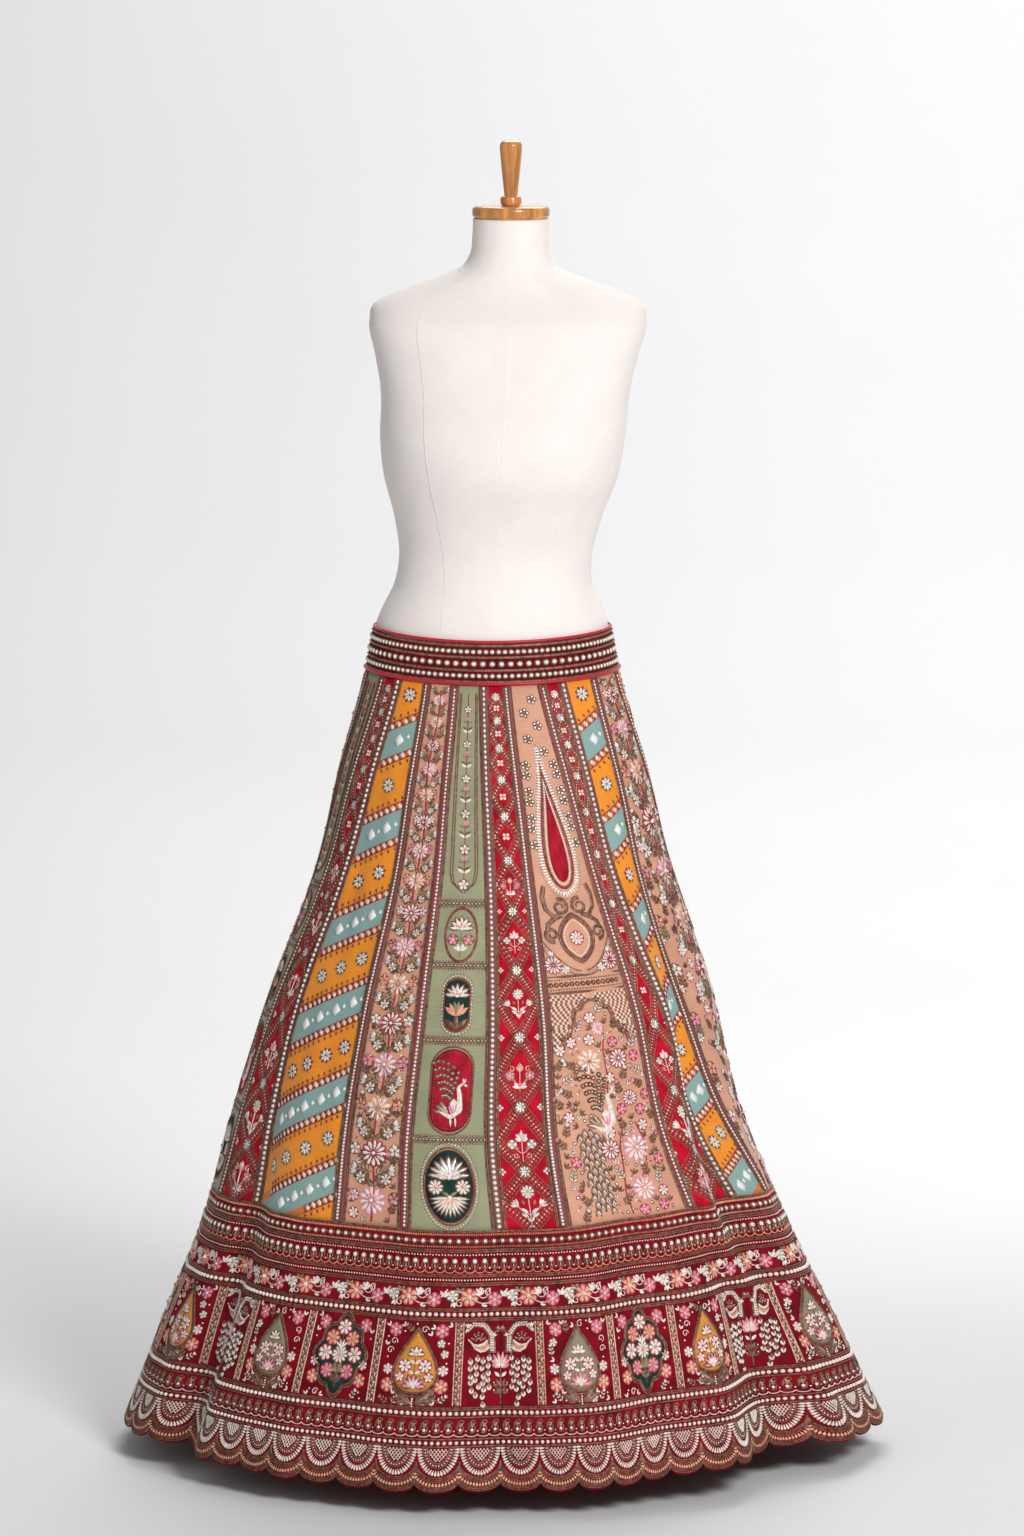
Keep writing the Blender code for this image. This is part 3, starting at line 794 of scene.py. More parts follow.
class Needlework:
    """Motifs laid on the skirt, joined into one piece for each thread."""

    def __init__(self, name: str, slot: str, lift: float = 0.0) -> None:
        """Starts an empty group of pieces that share a name and a lift."""
        self.name, self.slot, self.lift = name, slot, lift
        self.parts: dict = {}

    def lay(self, motif: Motif, chart: Chart, base: object = 0.0) -> None:
        """Lays a motif on the cloth, once at each base angle."""
        base = np.atleast_1d(base).astype(float)
        for thread in motif.parts:
            points, faces = motif.flat(thread)
            every = np.broadcast_to(points, (len(base), *points.shape))
            angle, level = chart.spots(base[:, None], every[..., 0], every[..., 1])
            world = FORM.points(angle, level, every[..., 2] + self.lift).reshape(-1, 3)
            joined = copies(faces, len(points), len(base))
            flat = xyz(every[..., 0] + np.radians(angle) * 0.3, every[..., 1])
            self.parts.setdefault(thread, []).append((world, joined, flat.reshape(-1, 2)))

    def make(self, palette: dict) -> list:
        """Makes one object for each thread.

        Args:
            palette: the materials by thread.

        Returns:
            The objects.
        """
        made = []
        for thread, parts in self.parts.items():
            starts = np.concatenate([[0], np.cumsum([len(points) for points, _, _ in parts])[:-1]])
            points = np.concatenate([part[0] for part in parts])
            faces = np.concatenate([part[1] + start for part, start in zip(parts, starts)])
            flat = np.concatenate([part[2] for part in parts])
            piece = mesh_object(f"{self.name}_{thread.name.lower()}", points, faces, flat)
            made.append(settle(piece, palette[thread], self.slot))
        return made


# ----- paths and small motifs


def oval(width: float, height: float, steps: int = 24, x: float = 0.0, y: float = 0.0) -> Array:
    """An ellipse's outline, anticlockwise."""
    around = circle(steps)
    return xyz(x + 0.5 * width * np.cos(around), y + 0.5 * height * np.sin(around))


def capsule(width: float, height: float, steps: int) -> Array:
    """A straight-sided outline with half-round ends, anticlockwise."""
    radius = 0.5 * width
    around = np.pi * np.arange(steps + 1) / steps
    top = xyz(radius * np.cos(around), 0.5 * height - radius + radius * np.sin(around))
    return np.concatenate([top, -top])


def drop(width: float, height: float, steps: int = 28) -> Array:
    """A drop's outline, its point up: width sin(t) sin(t/2)^1.4, height cos(t)."""
    around = circle(steps)
    across = 0.62 * width * np.sin(around) * np.abs(np.sin(around / 2)) ** 1.4
    return xyz(-across, 0.5 * height * np.cos(around))


def lobed(radius: float, lobes: int, depth: float, tall: float = 1.0, steps: int = 64,
        power: float = 2.0) -> Array:
    """A lobed outline: radius (1 - depth + depth |cos|) on a round or, at a low power, a lozenge."""
    around = circle(steps) + np.pi / 2
    wave = np.abs(np.cos(0.5 * lobes * (around - np.pi / 2)))
    lozenge = (np.abs(np.cos(around)) ** power + np.abs(np.sin(around)) ** power) ** (-1.0 / power)
    reach = radius * (1.0 - depth + depth * wave) * lozenge
    return xyz(reach * np.cos(around), tall * reach * np.sin(around))


def spiral(radius: float, turns: float, steps: int = 18, start: float = 0.0) -> Array:
    """A scroll that winds in from its radius to a third of it."""
    share = shares(steps)
    around = np.radians(start) + 2 * np.pi * turns * share
    reach = radius * (1.0 - 0.72 * share)
    return xyz(reach * np.cos(around), reach * np.sin(around))


def walk(path: Array) -> tuple[Array, object]:
    """The length of a path up to each of its points, and what gives the point at a length."""
    path = np.asarray(path, float)
    lengths = np.concatenate([[0.0], np.cumsum(np.linalg.norm(np.diff(path, axis=0), axis=1))])
    return lengths, lambda at: xyz(*(np.interp(at, lengths, part) for part in path.T))


def resample(path: Array, step: float, closed: bool = False) -> tuple[Array, Array]:
    """Points at even steps along a path, and the path's direction there in degrees."""
    path = np.vstack([path, path[:1]]) if closed else np.asarray(path, float)
    lengths, point = walk(path)
    count = max(2, int(round(lengths[-1] / step)))
    at = lengths[-1] * (np.arange(count) + 0.5) / count
    near = np.clip(np.searchsorted(lengths, at) - 1, 0, len(path) - 2)
    along = path[near + 1] - path[near]
    return point(at), np.degrees(np.arctan2(along[:, 1], along[:, 0]))


def blossom(radius: float, petals: int = 5, petal: Thread = WHITE, eye: Thread = PEACH,
        edge: Thread = ZARI) -> Motif:
    """An open flower: plump outlined petals about a beaded eye."""
    spins = 360.0 * np.arange(petals) / petals
    made = Motif().outlined(petal, 0, 0, spins, radius, 4.4 * radius / petals, 0.0013, edge, True)
    return made.beads(eye, 0, 0, 0.27 * radius, 1.2)


def sprig(length: float, leaf: Thread, tip: Thread, pairs: int = 3) -> Motif:
    """A stem with paired leaves and a bud at its tip."""
    up = length * (np.arange(pairs) + 0.6) / (pairs + 0.8)
    size = length * (0.4 - 0.05 * np.arange(pairs))
    made = Motif().cord(ZARI, [(0, 0), (0, 0.5 * length), (0, length)], 0.0012)
    for side in (-1, 1):
        made.outlined(leaf, 0, up, side * 50.0, size, 0.4 * size)
    top = np.array([-28.0, 0.0, 28.0])
    return made.outlined(tip, 0, 0.84 * length, top, 0.36 * length, 0.14 * length)


def beside(path: Array, offset: float) -> Array:
    """A path moved to its left by an offset."""
    along = np.gradient(np.asarray(path, float), axis=0)
    along /= np.maximum(np.linalg.norm(along, axis=1, keepdims=True), 1e-12)
    return path + offset * xyz(-along[:, 1], along[:, 0])


def strip(made: Motif, path: Array, half: float, rows: int, radius: float, pitch: float,
        cord: float = 0.0018) -> Motif:
    """A beaded strip along a path: two zari cords with rows of ringed pearls between."""
    for side in (-1, 1):
        made.cord(ZARI, beside(path, side * half), cord, 0.0011)
    for row, offset in enumerate(np.linspace(-half, half, rows + 2)[1:-1]):
        spots, _ = resample(beside(path, offset), pitch)
        if row == (rows - 1) // 2:
            made.beads(ZARI, *spots.T, 1.7 * radius, 0.3)
            made.beads(PEARL, *spots.T, radius, 1.1)
        else:
            made.beads(ZARI, *spots.T, 1.4 * radius, 0.6)
            made.beads(PEARL, *spots.T, 0.6 * radius, 1.8, 5)
    return made


def comb(made: Motif, path: Array, pitch: float, reach: float, thread: Thread, *shape: object,
        closed: bool = False) -> Motif:
    """Short bugle beads laid square across a path, their feet to its left by a reach."""
    spots, spins = resample(path, pitch, closed)
    foot = spots + reach * xyz(-np.sin(np.radians(spins)), np.cos(np.radians(spins)))
    return made.leaves(thread, *foot.T, spins + 180.0, *shape)


def scatter(made: Motif, stock: list, reach: float, taken: list, area: tuple, inside: object,
        seed: int) -> list:
    """Fills free places with small motifs, each clear of everything laid before it.

    Args:
        made: the motif to fill.
        stock: the small motifs, used in turn.
        reach: the room that each one takes, from its middle.
        taken: rows of x, y and reach of what is already there.
        area: the lowest and highest y and the widest x.
        inside: says for places x, y whether they may be filled.
        seed: the seed of the random places.

    Returns:
        Everything taken, the new places included.
    """
    random = np.random.default_rng(seed)
    low, high, wide = area
    tries = int(6.0 * wide * (high - low) / reach**2)
    x, y = random.uniform(-wide, wide, tries), random.uniform(low, high, tries)
    held, places = np.array(taken or [(9.0, 9.0, 0.0)], float), []
    for spot in xyz(x, y)[inside(x, y)]:
        if (np.hypot(*(held[:, :2] - spot).T) - held[:, 2]).min() > reach:
            held = np.vstack([held, [*spot, reach]])
            places.append(spot)
    for number, small in enumerate(stock):
        spots = np.array(places[number :: len(stock)]).reshape(-1, 2)
        made.stamp(small, spots[:, 0], spots[:, 1], random.uniform(-70.0, 70.0, len(spots)))
    return held.tolist()


def small_sprays() -> list:
    """Little sprigs, buds and roses, each about its own middle."""
    stock = []
    for leaf, tip in ((ZARI, WHITE), (ZARI, PINK), (WHITE, PEACH)):
        stock.append(Motif().stamp(sprig(0.0175, leaf, tip), 0, -0.0085))
    stock.insert(1, blossom(0.0068, 6, WHITE, PINK, RED))
    stock.insert(3, blossom(0.0066, 5, PINK, WHITE, RED))
    return stock


def small_fillings() -> list:
    """Single leaves, spangles and beads for the last free places."""
    pair = Motif().outlined(WHITE, 0, -0.003, [-26, 26], 0.007, 0.0026)
    dark = Motif().leaves(ZARI, 0, -0.004, [-38, 0, 38], 0.0085, 0.003, 0.0012)
    spangle = Motif().beads(ZARI, 0, 0, 0.0029, 0.2).beads(SPANGLE, 0, 0, 0.0022)
    bead = Motif().beads(RED, [0, 0.0026], 0, 0.0012).beads(PEARL, -0.0026, 0, 0.0013)
    return [dark, spangle, pair, dark, bead]


# ----- the gores' designs


@dataclass
class Designs:
    """Figures used in more than one place, each drawn about its own middle."""

    spangle_flower: Motif = field(default_factory=Motif)
    knot_flower: Motif = field(default_factory=Motif)
    sprays: list = field(default_factory=list)

    def __post_init__(self) -> None:
        """Draws the figures."""
        around = np.radians(72.0 * np.arange(5))
        x, y = 0.004 * np.cos(around), 0.004 * np.sin(around)
        self.spangle_flower.beads(ZARI, x, y, 0.0029, 0.2).beads(SPANGLE, x, y, 0.0023)
        self.spangle_flower.beads(ZARI, 0, 0, 0.0016, 1.2)
        self.knot_flower.beads(PEARL, [0.003, 0, -0.003, 0], [0, 0.003, 0, -0.003], 0.0021)
        self.knot_flower.beads(PINK, 0, 0, 0.0014, 1.4)
        self.sprays = [self.lotus_spray(), self.rose_spray(), self.daisy_spray()]

    def stems(self, reach: float, up: float) -> Motif:
        """A stem with two side stems that curve out and up."""
        made = Motif().cord(WHITE, [(0, -0.026), (0, -0.01), (0, up)], 0.0011)
        share = shares(7)
        for side in (-1, 1):
            curve = xyz(side * reach * share, -0.014 + 0.012 * share**2)
            made.cord(WHITE, curve, 0.001)
        return made

    def lotus_spray(self) -> Motif:
        """A lotus between two buds, with curled tendrils under them."""
        made = self.stems(0.012, 0.004)
        spins = np.array([-62.0, -36.0, 0.0, 36.0, 62.0])
        made.leaves(WHITE, 0, 0.002, spins, [0.01, 0.013, 0.016, 0.013, 0.01], 0.0052, 0.0014)
        made.leaves(PINK, 0, 0.003, [-18, 18], 0.012, 0.003, 0.0017)
        made.beads(ZARI, 0, 0.002, 0.002, 1.3)
        bud = blossom(0.0062, 4, WHITE, PINK)
        made.stamp(bud, [-0.0135, 0.0135], -0.002)
        for side in (-1, 1):
            curl = spiral(0.0042, 1.1, 14, 200) * (side, 1.0) + (side * 0.0085, -0.017)
            made.cord(WHITE, curl, 0.001)
            made.leaves(GREEN, side * 0.004, -0.009, -side * 55.0, 0.007, 0.0035)
        return made

    def rose_spray(self) -> Motif:
        """An upright bud over two pink roses and two white leaves."""
        made = self.stems(0.013, 0.006)
        made.leaves(PEACH, 0, 0.004, [-30, 0, 30], [0.01, 0.014, 0.01], 0.005, 0.0014)
        made.leaves(WHITE, 0, 0.005, [-14, 14], 0.011, 0.0026, 0.0018)
        rose = blossom(0.0068, 6, PINK, WHITE)
        made.stamp(rose, [-0.0145, 0.0145], -0.001)
        for side in (-1, 1):
            curl = spiral(0.0046, 1, 14, 60) * (side, 1.0) + (side * 0.012, 0.0085)
            made.cord(WHITE, curl, 0.001)
            made.leaves(GREEN, side * 0.006, -0.0085, -side * 80.0, 0.006, 0.0034)
            made.leaves(WHITE, 0, -0.02, -side * np.array([48.0, 75.0]), 0.012, 0.0042)
        return made.beads(ZARI, 0, -0.026, 0.002)

    def daisy_spray(self) -> Motif:
        """A daisy over two fringed cups, with leafy stems."""
        made = self.stems(0.015, 0.01)
        made.stamp(blossom(0.0085, 9, WHITE, PEACH), 0, 0.015)
        for side in (-1, 1):
            fan = -side * np.array([12.0, 34.0, 56.0, 78.0])
            made.leaves(WHITE, side * 0.014, -0.004, fan, 0.011, 0.0038, 0.0014)
            made.leaves(PEACH, side * 0.013, -0.005, -side * 45.0, 0.007, 0.004, 0.0019)
            made.leaves(WHITE, side * 0.002, [-0.012, -0.018], -side * 58.0, 0.011, 0.0044)
            made.leaves(WHITE, 0, -0.024, -side * 30.0, 0.008, 0.0036)
            made.leaves(GREEN, side * 0.006, -0.002, -side * 20.0, 0.007, 0.0032)
        return made


DESIGNS = Designs()


def diamond_work(chart: GoreChart) -> Motif:
    """Crossing beaded strips over velvet, a spray in each diamond and a knot beside each node."""
    centres = [-0.035, 0.033, 0.106, 0.188, 0.275, 0.354, 0.421, 0.48, 0.529, 0.571, 0.608, 0.64, 0.668]
    centres = np.array(centres)
    nodes = 0.5 * (centres[1:] + centres[:-1])
    made = Motif()
    for row, (low, high) in enumerate(zip(nodes[:-1], nodes[1:])):
        middle = centres[row + 1]
        width = float(chart.width(middle))
        half, edge = 0.078 * width + 0.0012, 0.5 * width - 0.0055
        low, rows = max(low, 0.002), 3 if width > 0.055 else 2
        for side in (-1, 1):
            share = shares(5)[:, None]
            for start, end in (((0.0, low), (edge, middle)), ((edge, middle), (0.0, high))):
                path = (1 - share) * np.array(start) + share * np.array(end)
                strip(made, path * (side, 1.0), half, rows, 0.55 * half / rows, 2.0 * half / rows, 0.0015)
            if width > 0.05:
                beside_node = side * (0.5 * width - 0.0115)
                made.stamp(DESIGNS.knot_flower, beside_node, high, 0, width / 0.085)
        size = width / 0.08
        if width > 0.044:
            spray = DESIGNS.sprays[(row + chart.gore) % 3]
            made.stamp(spray, 0, middle - 0.002 * size, 0, size * 0.98)
        else:
            made.stamp(DESIGNS.knot_flower, 0, middle, 45, 0.6 + width / 0.05 * 0.5)
        made.stamp(blossom(0.0042 + 0.03 * width, 8, SPANGLE, PEARL), 0, high)
    return made


STRIPE_SLOPE, STRIPE_PERIOD = 0.5, 0.115
STRIPE_EDGES = (0.0, 0.036)


def striped_places(chart: GoreChart, offset: float) -> list:
    """Each place on the gore's middle line where a stripe's edge crosses it, or nearly."""
    first = math.ceil((-0.03 - offset) / STRIPE_PERIOD)
    last = math.floor((chart.length - 0.012 - offset) / STRIPE_PERIOD)
    return [offset + STRIPE_PERIOD * number for number in range(first, last + 1)]


def on_gore(chart: GoreChart, spots: Array) -> Array:
    """Those of the places that are clear of the gore's two ends."""
    return spots[(spots[:, 1] > 0.0115) & (spots[:, 1] < chart.length - 0.0115)]


def stripe_work(chart: GoreChart) -> Motif:
    """Zigzag trims beside each blue stripe, mirrors along it and a flower in each yellow field."""
    made = Motif()
    for edge, side in zip(STRIPE_EDGES, (-1, 1)):
        for middle in striped_places(chart, edge):
            half = chart.half(middle)
            across = np.linspace(-half, half, max(3, int(2 * half / 0.007)))
            line = on_gore(chart, xyz(across, middle + STRIPE_SLOPE * across))
            if len(line) < 2:
                continue
            lean = math.degrees(math.atan(STRIPE_SLOPE))
            inner, outer = line + (0.0, side * 0.0005), line + (0.0, side * 0.0105)
            made.cord(RED, inner, 0.0012)
            made.cord(RED, outer, 0.0012)
            feet = (inner[1:] + inner[:-1]) / 2
            spin = lean if side > 0 else lean + 180.0
            made.leaves(WHITE, feet[:, 0], feet[:, 1], spin, 0.008, 0.0058, 0.0012)
            tips = (outer[1:] + outer[:-1]) / 2 + (0.0, side * 0.0018)
            made.leaves(ZARI, tips[:, 0], tips[:, 1], spin, 0.0055, 0.003, 0.0012)
            zigzag = np.empty((2 * len(line) - 1, 2))
            zigzag[0::2], zigzag[1::2] = inner, (outer[1:] + outer[:-1]) / 2
            made.cord(RED, zigzag, 0.0011)
    for middle in striped_places(chart, 0.018):
        half = chart.half(middle, 0.014)
        count = max(1, int(round(2 * half / 0.022)))
        across = half * (2 * (np.arange(count) + 0.5) / count - 1.0)
        across, up = on_gore(chart, xyz(across, middle + STRIPE_SLOPE * across)).T
        # the mirrors' flat white finish is a painted reflection
        rhomb = Motif().patch(MIRROR, [(0.0066, 0), (0, 0.0078), (-0.0066, 0), (0, -0.0078)], 0.0012, 1)
        made.stamp(rhomb, across, up).stamp(rhomb, across + 0.011, up + 0.0055, 0, 0.38)
    for place, middle in enumerate(striped_places(chart, 0.0755)):
        width = float(chart.width(middle))
        count = max(1, int(width / 0.032))
        across = (0.5 * width - 0.012) * (2 * (np.arange(count) + 0.5) / count - 1.0)
        flower = blossom(0.0078, 8, WHITE, ZARI)
        around = np.radians(45 * np.arange(8) + 22)
        ring = 0.009 * xyz(np.cos(around), np.sin(around))
        flower.beads(RED if place % 2 else GREEN, ring[:, 0], ring[:, 1], 0.0017)
        spots = on_gore(chart, xyz(across, middle + STRIPE_SLOPE * across))
        made.stamp(flower, *spots.T)
    return made


def vine_work(chart: GoreChart) -> Motif:
    """A red stem up the gore with great flowers, paired leaves, roses and buds."""
    made, taken = Motif(), []
    up = np.linspace(0.004, chart.length - 0.01, 90)
    sway = 0.002 * np.sin(up * 42.0)
    made.cord(RED, xyz(sway, up), 0.003, 0.0013)
    made.beaded(PINK, xyz(sway, up), 0.006, 0.0011, 1.6)
    y, number = 0.03, chart.gore
    while y < chart.length - 0.02:
        width = float(chart.width(y))
        size = min(1.0, max(0.34, width / 0.098))
        kind = number % 3
        reach = 0.5 * width - 0.0105
        made.stamp(great_flower(0.019, kind), 0, y, 0, size)
        bud = blossom(0.0085, 5, (PINK, WHITE, PEACH)[kind], RED)
        rose = blossom(0.0078, 6, WHITE, GOLD)
        for side in (-1, 1):
            for length, leaf, tip, rise, lean in (
                (0.032, ZARI, SPANGLE, 0.022, 58.0),
                (0.028, GOLD, WHITE, 0.036, 70.0),
                (0.026, ZARI, PINK, 0.049, 52.0),
            ):
                shift = side * (-1) ** number
                foot = (side * 0.002, y + (rise + 0.003 * shift) * size, -side * (lean + 7.0 * shift))
                if foot[1] + 0.022 * size < chart.length:
                    made.stamp(sprig(length, leaf, tip), *foot, min(size, 1.15 * reach / length))
            made.outlined(GREEN, 0, y + 0.018 * size, -side * 34.0, 0.013 * size, 0.0058 * size)
            if width > 0.045:
                made.stamp(rose, side * reach * 0.52, y + 0.03 * size, 0, size)
                made.stamp(bud, side * (reach - 0.004), y + 0.004, 0, size)
            if width > 0.09:
                leafy = sprig(0.022, ZARI if number % 2 else GREEN, PINK)
                made.stamp(leafy, side * (reach - 0.004), y - 0.022, side * 8.0, size)
                made.stamp(rose, side * (reach - 0.003), y + 0.044 * size, 20, 0.8 * size)
        taken += [(0.0, y, 0.019 * size), (0.0, y + 0.03 * size, 0.012 * size)]
        for side in (-1, 1):
            taken += [(side * 0.016 * size, y + 0.034 * size, 0.013 * size)]
        y += 0.06 * size + 0.004
        number += 1

    def inside(x: Array, up: Array) -> Array:
        """Whether places keep clear of the seam tapes."""
        return np.abs(x) < 0.5 * chart.width(up) - 0.0135

    area = (0.006, chart.length - 0.012, 0.05)
    taken = scatter(made, small_sprays()[:3], 0.0092, taken, area, inside, chart.gore)
    scatter(made, small_fillings(), 0.0052, taken, area, inside, chart.gore + 50)
    return made


def great_flower(radius: float, kind: int) -> Motif:
    """A large flower: an outer ring in thread colour, a white ring within it and a beaded eye."""
    ring, petals = ((PINK, 11), (RED, 12), (PEACH, 10))[kind]
    spins = 360.0 * np.arange(petals) / petals
    made = Motif().outlined(WHITE, 0, 0, spins, radius, 0.34 * radius, 0.0014, ring, True)
    made.leaves(ring, 0, 0, spins + 180.0 / petals, 0.66 * radius, 0.15 * radius, 0.0021)
    inner = RED if kind == 1 else PEACH
    made.leaves(inner, 0, 0, spins[::2] + 9.0, 0.46 * radius, 0.2 * radius, 0.0024)
    eye = GOLD if kind == 2 else PEARL
    return made.beads(eye, 0, 0, 0.17 * radius, 1.6)


def lotus_fan(width: float, petals: int, outer: Thread, inner: Thread) -> Motif:
    """A half-round fan of petals over a bead."""
    spins = np.linspace(-86.0, 86.0, petals)
    made = Motif().outlined(outer, 0, 0, spins, 0.5 * width, 1.15 * width / petals, 0.0014)
    made.leaves(inner, 0, 0, spins[1:-1:2], 0.34 * width, 0.8 * width / petals, 0.0021)
    return made.beads(PEARL, 0, 0, 0.05 * width + 0.001)


def framed(outline: Array, patch: Patch | None, beaded: bool) -> Motif:
    """A patch in a double cord frame, with a rim of small beads where asked."""
    made = Motif()
    if patch is not None:
        made.patch(patch, outline)
    made.cord(RED, outline * 1.015, 0.0014, 0.0014, closed=True)
    made.cord(ZARI, outline * 1.08, 0.0024, 0.0015, closed=True)
    if beaded:
        made.beaded(SPANGLE, outline * 1.19, 0.0042, 0.0011, closed=True)
        made.beaded(ZARI, outline * 1.25, 0.0042, 0.0009, closed=True)
    return made


def small_peacock() -> Motif:
    """A peacock that looks to the right, its tail raised behind it, about 60 mm tall."""
    made = Motif()
    share = shares(26)
    neck = xyz(np.interp(share, (0, 0.25, 0.5, 0.75, 0.9, 1), (-0.012, 0.0, 0.0095, 0.0085, 0.0065, 0.0115)),
            np.interp(share, (0, 0.25, 0.5, 0.75, 0.9, 1), (-0.0165, -0.0225, -0.015, 0.0, 0.009, 0.0125)))
    made.cord(WHITE, neck, 0.0018 + 0.0042 * np.sin(np.pi * share) ** 0.8, 0.002)
    made.leaves(WHITE, 0.012, 0.012, [-125, -20, 8], [0.005, 0.006, 0.006], 0.0022)
    made.leaves(WHITE, 0.0035, -0.0215, 2, 0.0185, 0.0105, 0.0015)
    made.leaves(PINK, 0.0035, -0.0205, [-14, 4, 22], 0.014, 0.003, 0.0024)
    made.outlined(GOLD, -0.002, -0.019, [34, 56, 78], 0.0155, 0.0036, 0.0017)
    made.leaves(WHITE, [0, 0.005], -0.022, 185, 0.011, 0.0022)
    made.beads(DARK, 0.0078, 0.0105, 0.0006, 4)
    tail = np.radians(np.linspace(50.0, 106.0, 6))
    for reach in (0.013, 0.0195, 0.026, 0.0325, 0.039, 0.0455):
        x = -0.004 + 0.62 * reach * np.cos(tail + 0.35)
        y = -0.014 + 1.08 * reach * np.sin(tail)
        made.beads(ZARI, x, y, 0.0027, 0.4, 8)
        made.beads(PEARL, x, y, 0.0017, 1)
    return made


def oval_work(chart: GoreChart) -> Motif:
    """A tall vine capsule, then framed ovals between beaded bars, growing down the gore."""
    made = Motif()
    wide = chart.width(0.0) / 0.119
    for y in (0.109, 0.228, 0.32, 0.397):
        half = chart.half(y)
        path = xyz(np.linspace(-half, half, 6), np.full(6, y))
        strip(made, path, 0.0034, 1, 0.0016, 0.0044, 0.0012)
        for side in (-1, 1):
            made.beaded(RED, path + (0.0, side * 0.0052), 0.0036, 0.001)
    # oval 1: a fan of white petals over pink buds on the gore's own silk
    first = framed(oval(0.037, 0.064, 36), None, False)
    first.stamp(lotus_fan(0.031, 7, WHITE, PEACH), 0, 0.008)
    first.stamp(blossom(0.0066, 5, PINK, WHITE), [-0.0095, 0.0095], -0.006)
    first.leaves(WHITE, 0, -0.02, [-60, -25, 25, 60], 0.01, 0.0042)
    first.leaves(GREEN, 0, -0.008, [-40, 40], 0.009, 0.0034)
    first.cord(GREEN, [(0, -0.028), (0, -0.01), (0, 0.008)], 0.0012)
    made.stamp(first, 0, 0.358, 0, wide)
    # oval 2: a lotus over yellow blooms and brown leaves
    second = framed(capsule(0.03, 0.062, 12), Patch.BOTTLE, True)
    figure = Motif()
    figure.stamp(lotus_fan(0.023, 7, WHITE, PINK), 0, 0.008)
    figure.leaves(PEACH, 0, -0.012, [-52, -28, 28, 52], 0.014, 0.0048)
    figure.leaves(GREEN, 0, -0.012, [-8, 8], 0.015, 0.0036)
    figure.leaves(ZARI, 0, -0.025, [-46, 0, 46], 0.015, 0.005)
    second.stamp(figure, 0, 0.001, 0, 1.28, raised=0.0007)
    made.stamp(second, 0, 0.272, 0, wide)
    # oval 3: a peacock on ruby velvet
    third = framed(capsule(0.048, 0.1, 12), Patch.RUBY, False)
    third.stamp(small_peacock(), 0.001, -0.006, 0, 1.18, raised=0.0008)
    rim = Motif().beaded(ZARI, capsule(0.043, 0.095, 12), 0.0034, 0.0009, closed=True)
    third.stamp(rim, raised=0.0007)
    made.stamp(third, 0, 0.168, 0, wide)
    # oval 4: a great lotus, two daisies and a fan below
    fourth = framed(oval(0.058, 0.088, 40), Patch.BOTTLE, True)
    figure = Motif()
    figure.stamp(lotus_fan(0.048, 9, SPANGLE, WHITE), 0, 0.012)
    figure.stamp(lotus_fan(0.028, 7, WHITE, PINK), 0, 0.01)
    figure.stamp(blossom(0.009, 9, WHITE, PEACH), [-0.0165, 0.0165], -0.001)
    fan = lotus_fan(0.046, 13, WHITE, PEACH)
    figure.stamp(fan, 0, -0.014, 180)
    figure.leaves(GREEN, 0, -0.012, [-60, 60, 120, 240], 0.011, 0.0042)
    fourth.stamp(figure, raised=0.0007)
    made.stamp(fourth, 0, 0.053, 0, wide)
    # the tall capsule with its little vine
    share = shares(20)
    low, high = 0.41, chart.length - 0.012
    lift = low + (high - low) * share
    half = (0.0145 - 0.006 * share) * wide * np.sqrt(1.0 - (1.0 - np.clip(share * 9.0, 0, 1)) ** 2)
    side = xyz(np.clip(half, 0.0008, 1.0), lift)
    for scale in (1.0, 1.22):
        made.cord(ZARI, side * (scale, 1.0), 0.0016, 0.0013)
        made.cord(ZARI, side * (-scale, 1.0), 0.0016, 0.0013)
    made.cord(RED, [(0.0, y) for y in np.linspace(low + 0.006, high, 12)], 0.0011)
    for row, y in enumerate(np.arange(low + 0.01, high - 0.012, 0.0145)):
        size = float(1.0 - 0.4 * (y - low) / (high - low)) * wide
        if row % 3 == 0:
            made.stamp(blossom(0.0066, 5, WHITE, PEACH), 0, y, 0, size)
        elif row % 3 == 1:
            made.leaves(WHITE, 0, y, [-55, 55], 0.0105 * size, 0.0042 * size)
            made.leaves(ZARI, 0, y + 0.004, [-62, 62], 0.01 * size, 0.0034 * size)
        else:
            made.leaves(PINK, 0, y, [-30, 0, 30], 0.009 * size, 0.0034 * size)
            made.leaves(GREEN, 0, y - 0.002, [-70, 70], 0.0085 * size, 0.0034 * size)
    return made


